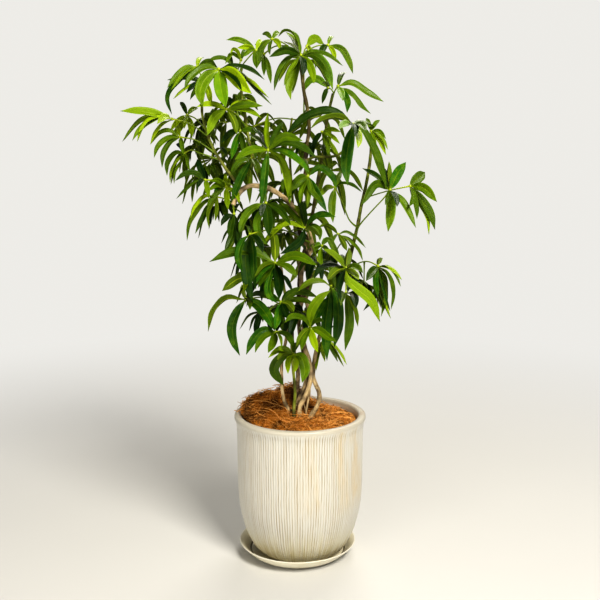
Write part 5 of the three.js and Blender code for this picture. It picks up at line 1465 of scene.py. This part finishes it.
def leaf_tree(sizes):
    """Whole compound leaves: a blade on each midrib, a round stalk on each stalk path and a hub knob."""
    names = {
        "Blade thickness": sizes.thickness,
        "Fold": sizes.fold,
        "Ripple": sizes.ripple,
        "Rows": 17,
        "Columns": 9,
        "Hub radius": sizes.hub_radius,
        "Seed": 5,
    }
    shape = Shape("Compound leaf", names)
    woody_material = shape.material("Stalk material")
    mesh = shape.group.outputs["Geometry"]
    seed = shape.size("Seed")

    def of_kind(kind):
        same = {"data_type": "INT", "operation": "EQUAL"}
        chosen = shape.get("FunctionNodeCompare", same, {2: shape.named("kind", "INT"), 3: kind})
        return shape.get("GeometryNodeSeparateGeometry", {"domain": "POINT"}, {0: mesh, 1: chosen})

    def smooth_curve(kind):
        curve = shape.get("GeometryNodeMeshToCurve", {}, {0: of_kind(kind)})
        return shape.get("GeometryNodeCurveSplineType", {"spline_type": "CATMULL_ROM"}, {0: curve})

    ribs = smooth_curve(0)
    count = shape.get("GeometryNodeAttributeDomainSize", {"component": "CURVE"}, {0: ribs}, "Spline Count")
    seats = shape.get("GeometryNodePoints", {}, {"Count": count})
    sheet_inputs = {
        "Size": (1, 1, 1),
        "Vertices X": shape.size("Columns"),
        "Vertices Y": shape.size("Rows"),
        "Vertices Z": 2,
    }
    sheet = shape.get("GeometryNodeMeshCube", {}, sheet_inputs)
    sheets = shape.get("GeometryNodeInstanceOnPoints", {}, {"Points": seats, "Instance": sheet})
    sheets = shape.store(sheets, "leaflet", shape.index(), "INT", "INSTANCE")
    sheets = shape.get("GeometryNodeRealizeInstances", {}, {"Geometry": sheets})
    x, y, z = shape.position().xyz
    flat = x * 2.0
    across = shape.maths("SIGN", flat) * shape.maths("ABSOLUTE", flat) ** 1.4
    along = y + 0.5
    upper = z + 0.5
    sheets = shape.store(sheets, "blade", shape.vector(across, along, upper), "FLOAT_VECTOR")
    leaflet = shape.named("leaflet", "INT")
    across, along, upper = shape.named("blade", "FLOAT_VECTOR").xyz

    def along_rib(value, kind, output="Value"):
        settings = {"mode": "FACTOR", "data_type": kind}
        inputs = {"Curves": ribs, "Factor": along, "Curve Index": leaflet}
        node = shape.add("GeometryNodeSampleCurve", settings, inputs)
        if value is not None:
            shape.feed(next(s for s in node.inputs if s.name == "Value" and s.enabled), value)
        if output == "Value":
            return Value(shape, next(s for s in node.outputs if s.name == "Value" and s.enabled))
        return shape.out(node, output)

    place = along_rib(None, "FLOAT", "Position")
    tangent = along_rib(None, "FLOAT", "Tangent")
    face = along_rib(shape.named("face", "FLOAT_VECTOR"), "FLOAT_VECTOR")
    girth = along_rib(shape.named("girth"), "FLOAT")
    look = along_rib(shape.named("look", "FLOAT_VECTOR"), "FLOAT_VECTOR")
    side = shape.unit(shape.cross(tangent, face))
    up = shape.unit(shape.cross(side, tangent))
    chance = shape.random(0.0, 1.0, leaflet, seed)
    outline = shape.curve(along, BLADE_OUTLINE)
    half = girth * outline
    off = shape.maths("ABSOLUTE", across)
    body = shape.ramp(along, 0.06, 0.2)
    lift = off * shape.size("Fold") * (chance * 0.8 + 0.6) * body
    half_side = shape.maths("SIGN", across)
    waves = shape.maths("SINE", along * (chance * 6.0 + 11.0) + chance * 30.0 + half_side * 0.9)
    lift = lift + waves * off * off * shape.size("Ripple") * body
    spine = shape.maths("EXPONENT", off * off * -90.0)
    thick = shape.size("Blade thickness") * (0.55 + spine * 1.6 + (1.0 - body) * 2.0)
    thick = thick * shape.ramp(along, 1.0, 0.9)
    place = place + side * (across * half) + up * (lift * half) - up * (thick * (1.0 - upper))
    sheets = shape.store(sheets, "look", look + shape.vector(0.0, 0.0, chance), "FLOAT_VECTOR")
    blades = shape.get("GeometryNodeSetPosition", {}, {"Geometry": sheets, "Position": place})
    blades = shape.get("GeometryNodeMergeByDistance", {}, {"Geometry": blades, "Distance": 0.00002})

    stalks = smooth_curve(1)
    stalks = shape.skinned(stalks, shape.ring(7), shape.named("girth"))
    knob_inputs = {"Radius": shape.size("Hub radius"), "Subdivisions": 2}
    knob = shape.get("GeometryNodeMeshIcoSphere", {}, knob_inputs)
    knobs = shape.get("GeometryNodeInstanceOnPoints", {}, {"Points": of_kind(2), "Instance": knob})
    knobs = shape.get("GeometryNodeRealizeInstances", {}, {"Geometry": knobs})
    lumps = shape.noise(shape.position(), 420.0, 2.0)
    normal = shape.get("GeometryNodeInputNormal", {}, {})
    knobs = shape.move(knobs, normal * ((lumps - 0.4) * shape.size("Hub radius")))
    blades = shape.store(blades, "is_blade", True, "BOOLEAN", "FACE")
    whole = shape.painted(shape.join(blades, stalks, knobs), woody_material)
    return shape.finish(whole, shape.named("is_blade", "BOOLEAN"))


def leaf_paths(leaf, start):
    """The paths that one compound leaf grows along, in millimetres."""
    hub = from_view(*leaf["hub"])
    paths = []
    if "leaflets" in leaf:
        blades = [listed_blade(leaf, leaflet) for leaflet in leaf["leaflets"]]
    else:
        blades = [spread_blade(leaf, order) for order in range(leaf["count"])]
        if leaf in INNER_LEAVES:
            blades += [spread_blade(leaf, order, True) for order in range(leaf["count"])]
    for places, faces, half, tone in blades:
        look = (*TONES[tone], 0)
        count = len(places)
        girths = [half] * count
        paths.append(
            {"kind": 0, "places": places, "girths": girths, "faces": faces, "looks": [look] * count}
        )
    places = stalk_path(leaf, start)
    shares = [at / (len(places) - 1) for at in range(len(places))]
    girths = [STALK_RADIUS + STALK_FOOT * (1 - share) ** 6 + STALK_TIP * share**8 for share in shares]
    looks = [(0.15 + 0.7 * share**3, 0, 0.5) for share in shares]
    paths.append({"kind": 1, "places": places, "girths": girths, "looks": looks})
    paths.append({"kind": 2, "places": [hub], "girths": [1], "looks": [(0.75, 0, 0.5)]})
    return paths, places[len(places) // 2]


def soil_finish(looks):
    """Dark moist soil with drier crumbs."""
    soil = Finish("potting_soil", roughness=0.9, specular=0.2)
    crumbs = soil.noise(soil.place, 260.0, 4.0, 0.7)
    damp = soil.noise(soil.place, 24.0, 2.0)
    base = soil.mix(soil.ramp(crumbs, 0.45, 0.7), looks.soil, looks.crumb)
    soil.colour(soil.mix(soil.ramp(damp, 0.4, 0.7) * 0.4, base, looks.soil))
    soil.roughness(soil.ramp(damp, 0.3, 0.7, 0.75, 0.95))
    soil.relief(crumbs, 0.002, 1.0)
    return soil.material


def floor_finish(looks):
    """A pale floor that turns into the backdrop far away, so that no horizon shows."""
    floor = Finish("floor", roughness=0.85, specular=0.2)
    x, y, _ = floor.place.xyz
    grain = floor.noise(floor.place, 3.0, 2.0)
    floor.colour(floor.mix(grain, looks.floor, tuple(FLOOR_GRAIN * part for part in looks.floor)))
    glow = floor.get("ShaderNodeEmission", {}, {"Color": looks.backdrop, "Strength": 1.0})
    far = floor.ramp((x * x + y * y) ** 0.5, 0.3, 2.2)
    blended = floor.get("ShaderNodeMixShader", {}, {0: far, 1: floor.shader.outputs[0], 2: glow})
    output = next(node for node in floor.tree.nodes if node.bl_idname == "ShaderNodeOutputMaterial")
    floor.feed(output.inputs["Surface"], blended)
    return floor.material


def backdrop_finish(looks):
    """The plain glow of the backdrop."""
    material = bpy.data.materials.new("backdrop")
    material.use_nodes = True
    wall = Nodes(material.node_tree)
    wall.tree.nodes.clear()
    glow = wall.get("ShaderNodeEmission", {}, {"Color": looks.backdrop, "Strength": 1.0})
    wall.add("ShaderNodeOutputMaterial", {}, {"Surface": glow})
    return material


def add_light(name, place, width, watts):
    """A square soft light that faces the plant."""
    light = bpy.data.lights.new(name, "AREA")
    light.size = width
    light.energy = watts
    light.color = LIGHT_COLOUR
    lamp = bpy.data.objects.new(name, light)
    lamp.location = place
    lamp.rotation_euler = (LIGHT_AIM - Vector(place)).to_track_quat("-Z", "Y").to_euler()
    bpy.context.scene.collection.objects.link(lamp)


def stem_paths(stem, order):
    """The stem's own path and, for a rooted one, short roots that spread at its foot."""
    places = smooth_path(stem_stops(stem), STEM_STEPS)
    whole = path_length(places)
    foot_radius, tip_radius = stem["radius"]
    pale_foot, green_foot, pale_tip, green_tip = STEM_LOOKS[stem["node"]]
    girths = []
    looks = []
    for at in range(len(places)):
        share = at / (len(places) - 1)
        flare = 0.0
        if stem["rooted"]:
            above = share * whole - (MULCH_BED_Z - STEM_FOOT_Z)
            flare = ROOT_FLARE * math.exp(-max(above, 0) / ROOT_FLARE_LENGTH)
        girths.append((foot_radius + (tip_radius - foot_radius) * share) * (1 + flare))
        pale = pale_foot + (pale_tip - pale_foot) * share
        green = green_foot + (green_tip - green_foot) * share
        green *= 1 - 1.6 * flare
        looks.append((pale, green, order))
    paths = [{"kind": 0, "places": places, "girths": girths, "looks": looks}]
    if stem["rooted"]:
        collar = next(place for place in places if place.z > MULCH_BED_Z + 8)
        for root in range(3):
            angle = 2 * math.pi * (root / 3 + 0.15 * vary(order, root)) + order
            away = Vector((math.cos(angle), math.sin(angle), 0))
            spread = ROOT_SPREAD[0] + ROOT_SPREAD[1] * vary(root, order)
            stops = [
                collar + Vector((0, 0, 6)),
                collar + away * foot_radius - Vector((0, 0, 3)),
                collar + away * spread * 0.7 - Vector((0, 0, 13)),
                collar + away * spread - Vector((0, 0, 27)),
            ]
            chain = smooth_path(stops, ROOT_STEPS)
            taper = [foot_radius * (0.62 - 0.32 * at / ROOT_STEPS) for at in range(len(chain))]
            looks = [(pale_foot, green_foot, order + 1)] * len(chain)
            paths.append({"kind": 0, "places": chain, "girths": taper, "looks": looks})
    if stem["node"] in SIDE_ROOTS:
        (thick, thin), stops = SIDE_ROOTS[stem["node"]]
        chain = smooth_path([from_view(*stop) for stop in stops], SIDE_ROOT_STEPS)
        taper = [thick + (thin - thick) * at / SIDE_ROOT_STEPS for at in range(len(chain))]
        looks = [(pale_foot, 0, order + 2)] * len(chain)
        paths.append({"kind": 0, "places": chain, "girths": taper, "looks": looks})
    return paths


# ---- Looks and sizes that a user would change ----
def colour(name, description, default):
    return FloatVectorProperty(
        name=name, description=description, default=default, subtype="COLOR", size=3, min=0, max=1
    )


def length(name, description, default):
    return FloatProperty(
        name=name, description=description, default=default, min=0, unit="LENGTH", precision=5
    )


def share(name, description, default):
    return FloatProperty(
        name=name, description=description, default=default, min=0, max=1, subtype="FACTOR"
    )


def power(name, description, default):
    return FloatProperty(name=name, description=description, default=default, min=0, unit="POWER")


def count(name, description, default, least):
    return IntProperty(name=name, description=description, default=default, min=least)


class SaucerLooks(PropertyGroup):
    """The saucer's glaze."""

    glaze: colour("Glaze", "Cream glaze of the saucer", (0.82, 0.78, 0.63))
    shade: colour("Shade", "Greener cream where the glaze is thin", (0.76, 0.715, 0.56))
    # Painted light: the colour of the rim's top edge sets how bright the lit edge looks; it is darker than
    # the glaze.
    edge: colour("Edge", "Paler edge of the rim", (0.62, 0.60, 0.53))
    # Painted shade with grime in the groove round the floor, and specks near the foot.
    dirt_and_shade: colour("Dirt", "Dirt that has settled in the ring round the floor", (0.13, 0.10, 0.055))


class PotLooks(PropertyGroup):
    """The pot's ribs and glaze."""

    ribs: count("Ribs", "How many ribs stand round the wall", 150, 8)
    rib_height: length("Rib height", "How far a rib stands proud of its groove", 0.0006)
    glaze: colour("Glaze", "Ivory glaze between white ribs", (0.48, 0.455, 0.39))
    crest: colour("Crest", "White crests of the ribs", (0.53, 0.521, 0.48))
    groove: colour("Groove", "Glaze that pools in the grooves", (0.30, 0.235, 0.135))
    streak: colour("Streak", "Thin dull streaks down the wall", (0.50, 0.435, 0.29))
    amber: colour("Amber", "Warm wide streaks at the right", (0.55, 0.42, 0.22))
    low: colour("Low", "Greenish beige shade near the foot", (0.49, 0.44, 0.24))
    # Painted shade: darker than the wall's glaze to hold down the light on the lip's top.
    lip: colour("Lip", "Cream glaze on the lip", (0.445, 0.42, 0.355))
    wear: colour("Wear", "Bare brown clay where the lip is worn", (0.30, 0.17, 0.07))
    # Painted light: the inner wall's warm pinkish colour, made lighter for the light that reaches it.
    inside: colour("Inside", "Warm shade inside the lip", (0.93, 0.77, 0.62))


class SoilLooks(PropertyGroup):
    """The potting soil under the mulch."""

    soil: colour("Soil", "Moist potting soil", (0.045, 0.026, 0.014))
    crumb: colour("Crumb", "Drier crumbs in the soil", (0.16, 0.10, 0.055))


class CoirLooks(PropertyGroup):
    """The mulch of coir fibre."""

    fibres: count("Fibres", "How many fibres lie in each layer of the mulch", 4600, 1)
    fibre_length: length("Fibre length", "Usual length of a fibre", 0.042)
    fibre_radius: length("Fibre radius", "Half the thickness of a fibre", 0.00042)
    light: colour("Light", "Sunlit orange fibre", (0.84, 0.45, 0.145))
    fibre: colour("Fibre", "Usual orange brown of the fibre", (0.49, 0.195, 0.022))
    # Dark fibre, also used as painted shade in the heap's gaps and behind the stems' feet.
    dark: colour("Dark", "Fibre deep in the heap", (0.072, 0.023, 0.002))


class StemLooks(PropertyGroup):
    """The stems and branches."""

    ring_spacing: length("Ring spacing", "Length of one step along a stem", 0.003)
    sides: count("Sides", "Flat sides round a stem", 20, 3)
    unevenness: length("Unevenness", "Height of the lumps on the bark", 0.0012)
    pale: colour("Pale", "Pale tan bark", (0.53, 0.405, 0.225))
    dark: colour("Dark", "Dark brown bark", (0.050, 0.029, 0.010))
    crack: colour("Crack", "Cracks and leaf scars", (0.040, 0.024, 0.012))
    bloom: colour("Bloom", "Grey bloom on old bark", (0.60, 0.53, 0.38))
    green: colour("Green", "Young green wood", (0.070, 0.092, 0.008))
    green_light: colour("Light green", "Lighter patches on young wood", (0.22, 0.25, 0.030))


class LeafLooks(PropertyGroup):
    """The compound leaves."""

    thickness: length("Blade thickness", "Thickness of a leaflet", 0.00035)
    fold: share("Fold", "How far a leaflet's halves rise, as a share of its half width", 0.4)
    ripple: share("Ripple", "Waves at a leaflet's margin, as a share of its half width", 0.07)
    hub_radius: length("Hub radius", "Radius of the knob that the leaflets grow from", 0.0026)
    # The darkest green, also painted shade for leaflets deep in the crown.
    dark: colour("Dark", "Old leaflets deep in the crown", (0.0032, 0.026, 0.0004))
    middle: colour("Middle", "Usual green of a leaflet", (0.088, 0.160, 0.0015))
    cool: colour("Cool", "Blue-green of some leaflets", (0.026, 0.118, 0.002))
    bright: colour("Bright", "Young leaflets in the light", (0.265, 0.375, 0.0050))
    pale: colour("Sheen", "Grey-green sheen of some leaflets", (0.12, 0.26, 0.008))
    underside: colour("Underside", "Dull olive underside", (0.085, 0.135, 0.003))
    rib: colour("Rib", "Midribs and the stalks' ends", (0.38, 0.46, 0.020))
    stalk: colour("Stalk", "Green leaf stalks", (0.12, 0.19, 0.006))


class StageLooks(PropertyGroup):
    """The floor, the backdrop, the lights and the camera."""

    floor_radius: length("Floor radius", "Half the width of the round floor", 12.0)
    floor: colour("Floor", "Pale plain floor", (0.59, 0.59, 0.58))
    backdrop: colour("Backdrop", "Pale wall all round, far away", (0.61, 0.602, 0.58))
    surroundings: colour("Surroundings", "Colour of the soft light from all round", (1.0, 0.965, 0.90))
    ambience: FloatProperty(
        name="Ambience", description="Strength of the light from all round", default=0.19, min=0
    )
    key: power("Key light", "Power of the main light, high in front at the right", 108)
    fill: power("Fill light", "Power of the wide light, low in front at the left", 33)
    back: power("Back light", "Power of the light behind", 31)


# ---- What builds each part ----
class PLANT_OT_saucer(Operator):
    """Turn the glazed saucer"""

    bl_idname = "umbrella_plant.build_saucer"
    bl_label = "Build saucer"

    def execute(self, context):
        stretches = [
            (SAUCER_FOOT, 4, 0), (SAUCER_OUTSIDE, 24, 0), (SAUCER_INSIDE, 20, 0), (SAUCER_FLOOR, 24, 0),
        ]
        mesh = turned_mesh("saucer_turned", stretches, SAUCER_SIDES, 0)
        mesh.materials.append(saucer_finish(context.scene.plant_saucer))
        mesh.shade_smooth()
        settle("saucer_turned", mesh, "saucer_glaze", "saucer")
        return {"FINISHED"}


class PLANT_OT_pot(Operator):
    """Turn the pot and raise its ribs"""

    bl_idname = "umbrella_plant.build_pot"
    bl_label = "Build pot"

    def execute(self, context):
        looks = context.scene.plant_pot
        stretches = [
            (POT_FOOT, 3, 0), (POT_OUTSIDE[:3], 4, 0), (POT_OUTSIDE[2:], 26, 1),
            (POT_LIP, 12, 0), (POT_INSIDE, 12, -1), ([POT_INSIDE[-1], POT_FOOT[0]], 2, -1),
        ]
        mesh = turned_mesh("pot_turned", stretches, POT_SIDES, POT_AXIS_X)
        ribbed = shaped("pot_turned", mesh, rib_tree(looks), {"Material": pot_finish(looks)})
        settle("pot_turned", ribbed, "pot_glaze", "pot")
        return {"FINISHED"}


class PLANT_OT_soil(Operator):
    """Give the potting soil its finish"""

    bl_idname = "umbrella_plant.finish_soil"
    bl_label = "Finish soil"

    def execute(self, context):
        material = soil_finish(context.scene.plant_soil)
        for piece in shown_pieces():
            if piece.get("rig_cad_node") == "potting_soil":
                for slot in piece.material_slots:
                    slot.material = material
        return {"FINISHED"}


class PLANT_OT_mulch(Operator):
    """Heap the coir mulch and lay its fibres"""

    bl_idname = "umbrella_plant.build_mulch"
    bl_label = "Build mulch"

    def execute(self, context):
        looks = context.scene.plant_coir
        bed = mulch_mesh("coir_bed")
        bed.materials.append(coir_finish(looks, "coir_bed", 0.2))
        bed.shade_smooth()
        settle("coir_bed", bed, "coir", "coir_mulch")
        tree = fibre_tree(looks)
        material = coir_finish(looks, "coir_fibre", 1.0)
        layers = {
            "coir_fibres_fine": {"Curl": 0.009, "Stand": 0.15, "Fibre radius": looks.fibre_radius * 0.8},
            "coir_fibres_curled": {"Curl": 0.014, "Stand": 0.25},
            "coir_fibres_long": {"Curl": 0.018, "Stand": 0.26, "Fibre length": looks.fibre_length * 1.25},
        }
        for order, (name, sizes) in enumerate(layers.items()):
            ground = mulch_mesh(name + "_ground")
            fibres = shaped(name, ground, tree, {"Material": material, "Seed": 11 + order, **sizes})
            settle(name, fibres, "coir", "coir_mulch")
        return {"FINISHED"}


class PLANT_OT_stems(Operator):
    """Grow the stems and branches"""

    bl_idname = "umbrella_plant.grow_stems"
    bl_label = "Grow stems"

    def execute(self, context):
        looks = context.scene.plant_stems
        tree = stem_tree(looks)
        material = bark_finish(looks, "bark")
        for order, stem in enumerate(STEMS):
            name = stem["node"] + "_grown"
            paths = stem_paths(stem, order)
            sizes = {"Material": material, "Seed": order}
            mesh = shaped(name, path_mesh(name + "_path", paths), tree, sizes)
            slot = "green_stem" if stem["node"] in GREEN_STEMS else "bark"
            settle(name, mesh, slot, stem["node"])
        return {"FINISHED"}


class PLANT_OT_leaves(Operator):
    """Grow the compound leaves on their stems"""

    bl_idname = "umbrella_plant.grow_leaves"
    bl_label = "Grow leaves"

    def execute(self, context):
        looks = context.scene.plant_leaves
        tree = leaf_tree(looks)
        materials = {"Material": blade_finish(looks), "Stalk material": stalk_finish(looks)}
        stems = {stem["node"]: stem for stem in STEMS}
        grown = {}
        middles = {}
        for leaf in LEAVES + BACK_LEAVES + INNER_LEAVES:
            node = leaf["node"]
            start = stalk_start(leaf, stems[leaf["stem"]]) if leaf["stem"] else middles[node]
            paths, middle = leaf_paths(leaf, start)
            middles.setdefault(node, middle)
            grown.setdefault(node, []).extend(paths)
        for order, (node, paths) in enumerate(grown.items()):
            name = node + "_grown"
            mesh = shaped(name, path_mesh(name + "_path", paths), tree, {**materials, "Seed": order})
            settle(name, mesh, "leaf", node)
        return {"FINISHED"}


class PLANT_OT_stage(Operator):
    """Set the floor, the lights and the camera"""

    bl_idname = "umbrella_plant.set_stage"
    bl_label = "Set stage"

    def execute(self, context):
        looks = context.scene.plant_stage
        build = bmesh.new()
        bmesh.ops.create_circle(build, cap_ends=True, segments=FLOOR_SIDES, radius=looks.floor_radius)
        mesh = plain_mesh("floor", build)
        mesh.materials.append(floor_finish(looks))
        new_object("floor", mesh)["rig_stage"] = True
        build = bmesh.new()
        bmesh.ops.create_icosphere(build, subdivisions=4, radius=looks.floor_radius)
        mesh = plain_mesh("backdrop", build)
        mesh.materials.append(backdrop_finish(looks))
        backdrop = new_object("backdrop", mesh)
        for ray in ("diffuse", "glossy", "transmission", "shadow"):
            setattr(backdrop, "visible_" + ray, False)
        backdrop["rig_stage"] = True
        world = bpy.data.worlds.new("surroundings")
        world.use_nodes = True
        surroundings = world.node_tree.nodes["Background"]
        surroundings.inputs["Color"].default_value = (*looks.surroundings, 1)
        surroundings.inputs["Strength"].default_value = looks.ambience
        context.scene.world = world
        for name, (place, width) in LIGHTS.items():
            add_light(name + "_light", place, width, getattr(looks, name))
        camera = bpy.data.cameras.new("front_camera")
        camera.sensor_width = VIEW_SENSOR
        camera.lens = VIEW_SENSOR * VIEW_FOCAL / (2 * VIEW_CENTRE)
        eye = bpy.data.objects.new("front_camera", camera)
        eye.location = VIEW_PLACE * MM
        eye.rotation_euler = (math.pi / 2 - VIEW_PITCH, 0, 0)
        context.scene.collection.objects.link(eye)
        context.scene.camera = eye
        context.scene.view_settings.view_transform = "Standard"
        context.scene.view_settings.look = "High Contrast"
        return {"FINISHED"}


STEPS = (
    PLANT_OT_saucer, PLANT_OT_pot, PLANT_OT_soil, PLANT_OT_mulch, PLANT_OT_stems, PLANT_OT_leaves,
    PLANT_OT_stage,
)
LOOKS = {
    "plant_saucer": SaucerLooks,
    "plant_pot": PotLooks,
    "plant_soil": SoilLooks,
    "plant_coir": CoirLooks,
    "plant_stems": StemLooks,
    "plant_leaves": LeafLooks,
    "plant_stage": StageLooks,
}


class PLANT_PT_panel(Panel):
    """The steps that build the plant"""

    bl_label = "Umbrella plant"
    bl_space_type = "VIEW_3D"
    bl_region_type = "UI"
    bl_category = "Umbrella plant"

    def draw(self, context):
        for step, key in zip(STEPS, LOOKS):
            box = self.layout.box()
            box.operator(step.bl_idname)
            looks = getattr(context.scene, key)
            for name in looks.__annotations__:
                box.prop(looks, name)


def register():
    for kind in (*LOOKS.values(), *STEPS, PLANT_PT_panel):
        bpy.utils.register_class(kind)
    for key, kind in LOOKS.items():
        setattr(bpy.types.Scene, key, PointerProperty(type=kind))


def unregister():
    for key in LOOKS:
        delattr(bpy.types.Scene, key)
    for kind in reversed((*LOOKS.values(), *STEPS, PLANT_PT_panel)):
        bpy.utils.unregister_class(kind)


def main():
    register()
    bpy.ops.umbrella_plant.build_saucer()
    bpy.ops.umbrella_plant.build_pot()
    bpy.ops.umbrella_plant.finish_soil()
    bpy.ops.umbrella_plant.build_mulch()
    bpy.ops.umbrella_plant.grow_stems()
    bpy.ops.umbrella_plant.grow_leaves()
    bpy.ops.umbrella_plant.set_stage()


if __name__ == "__main__":
    main()
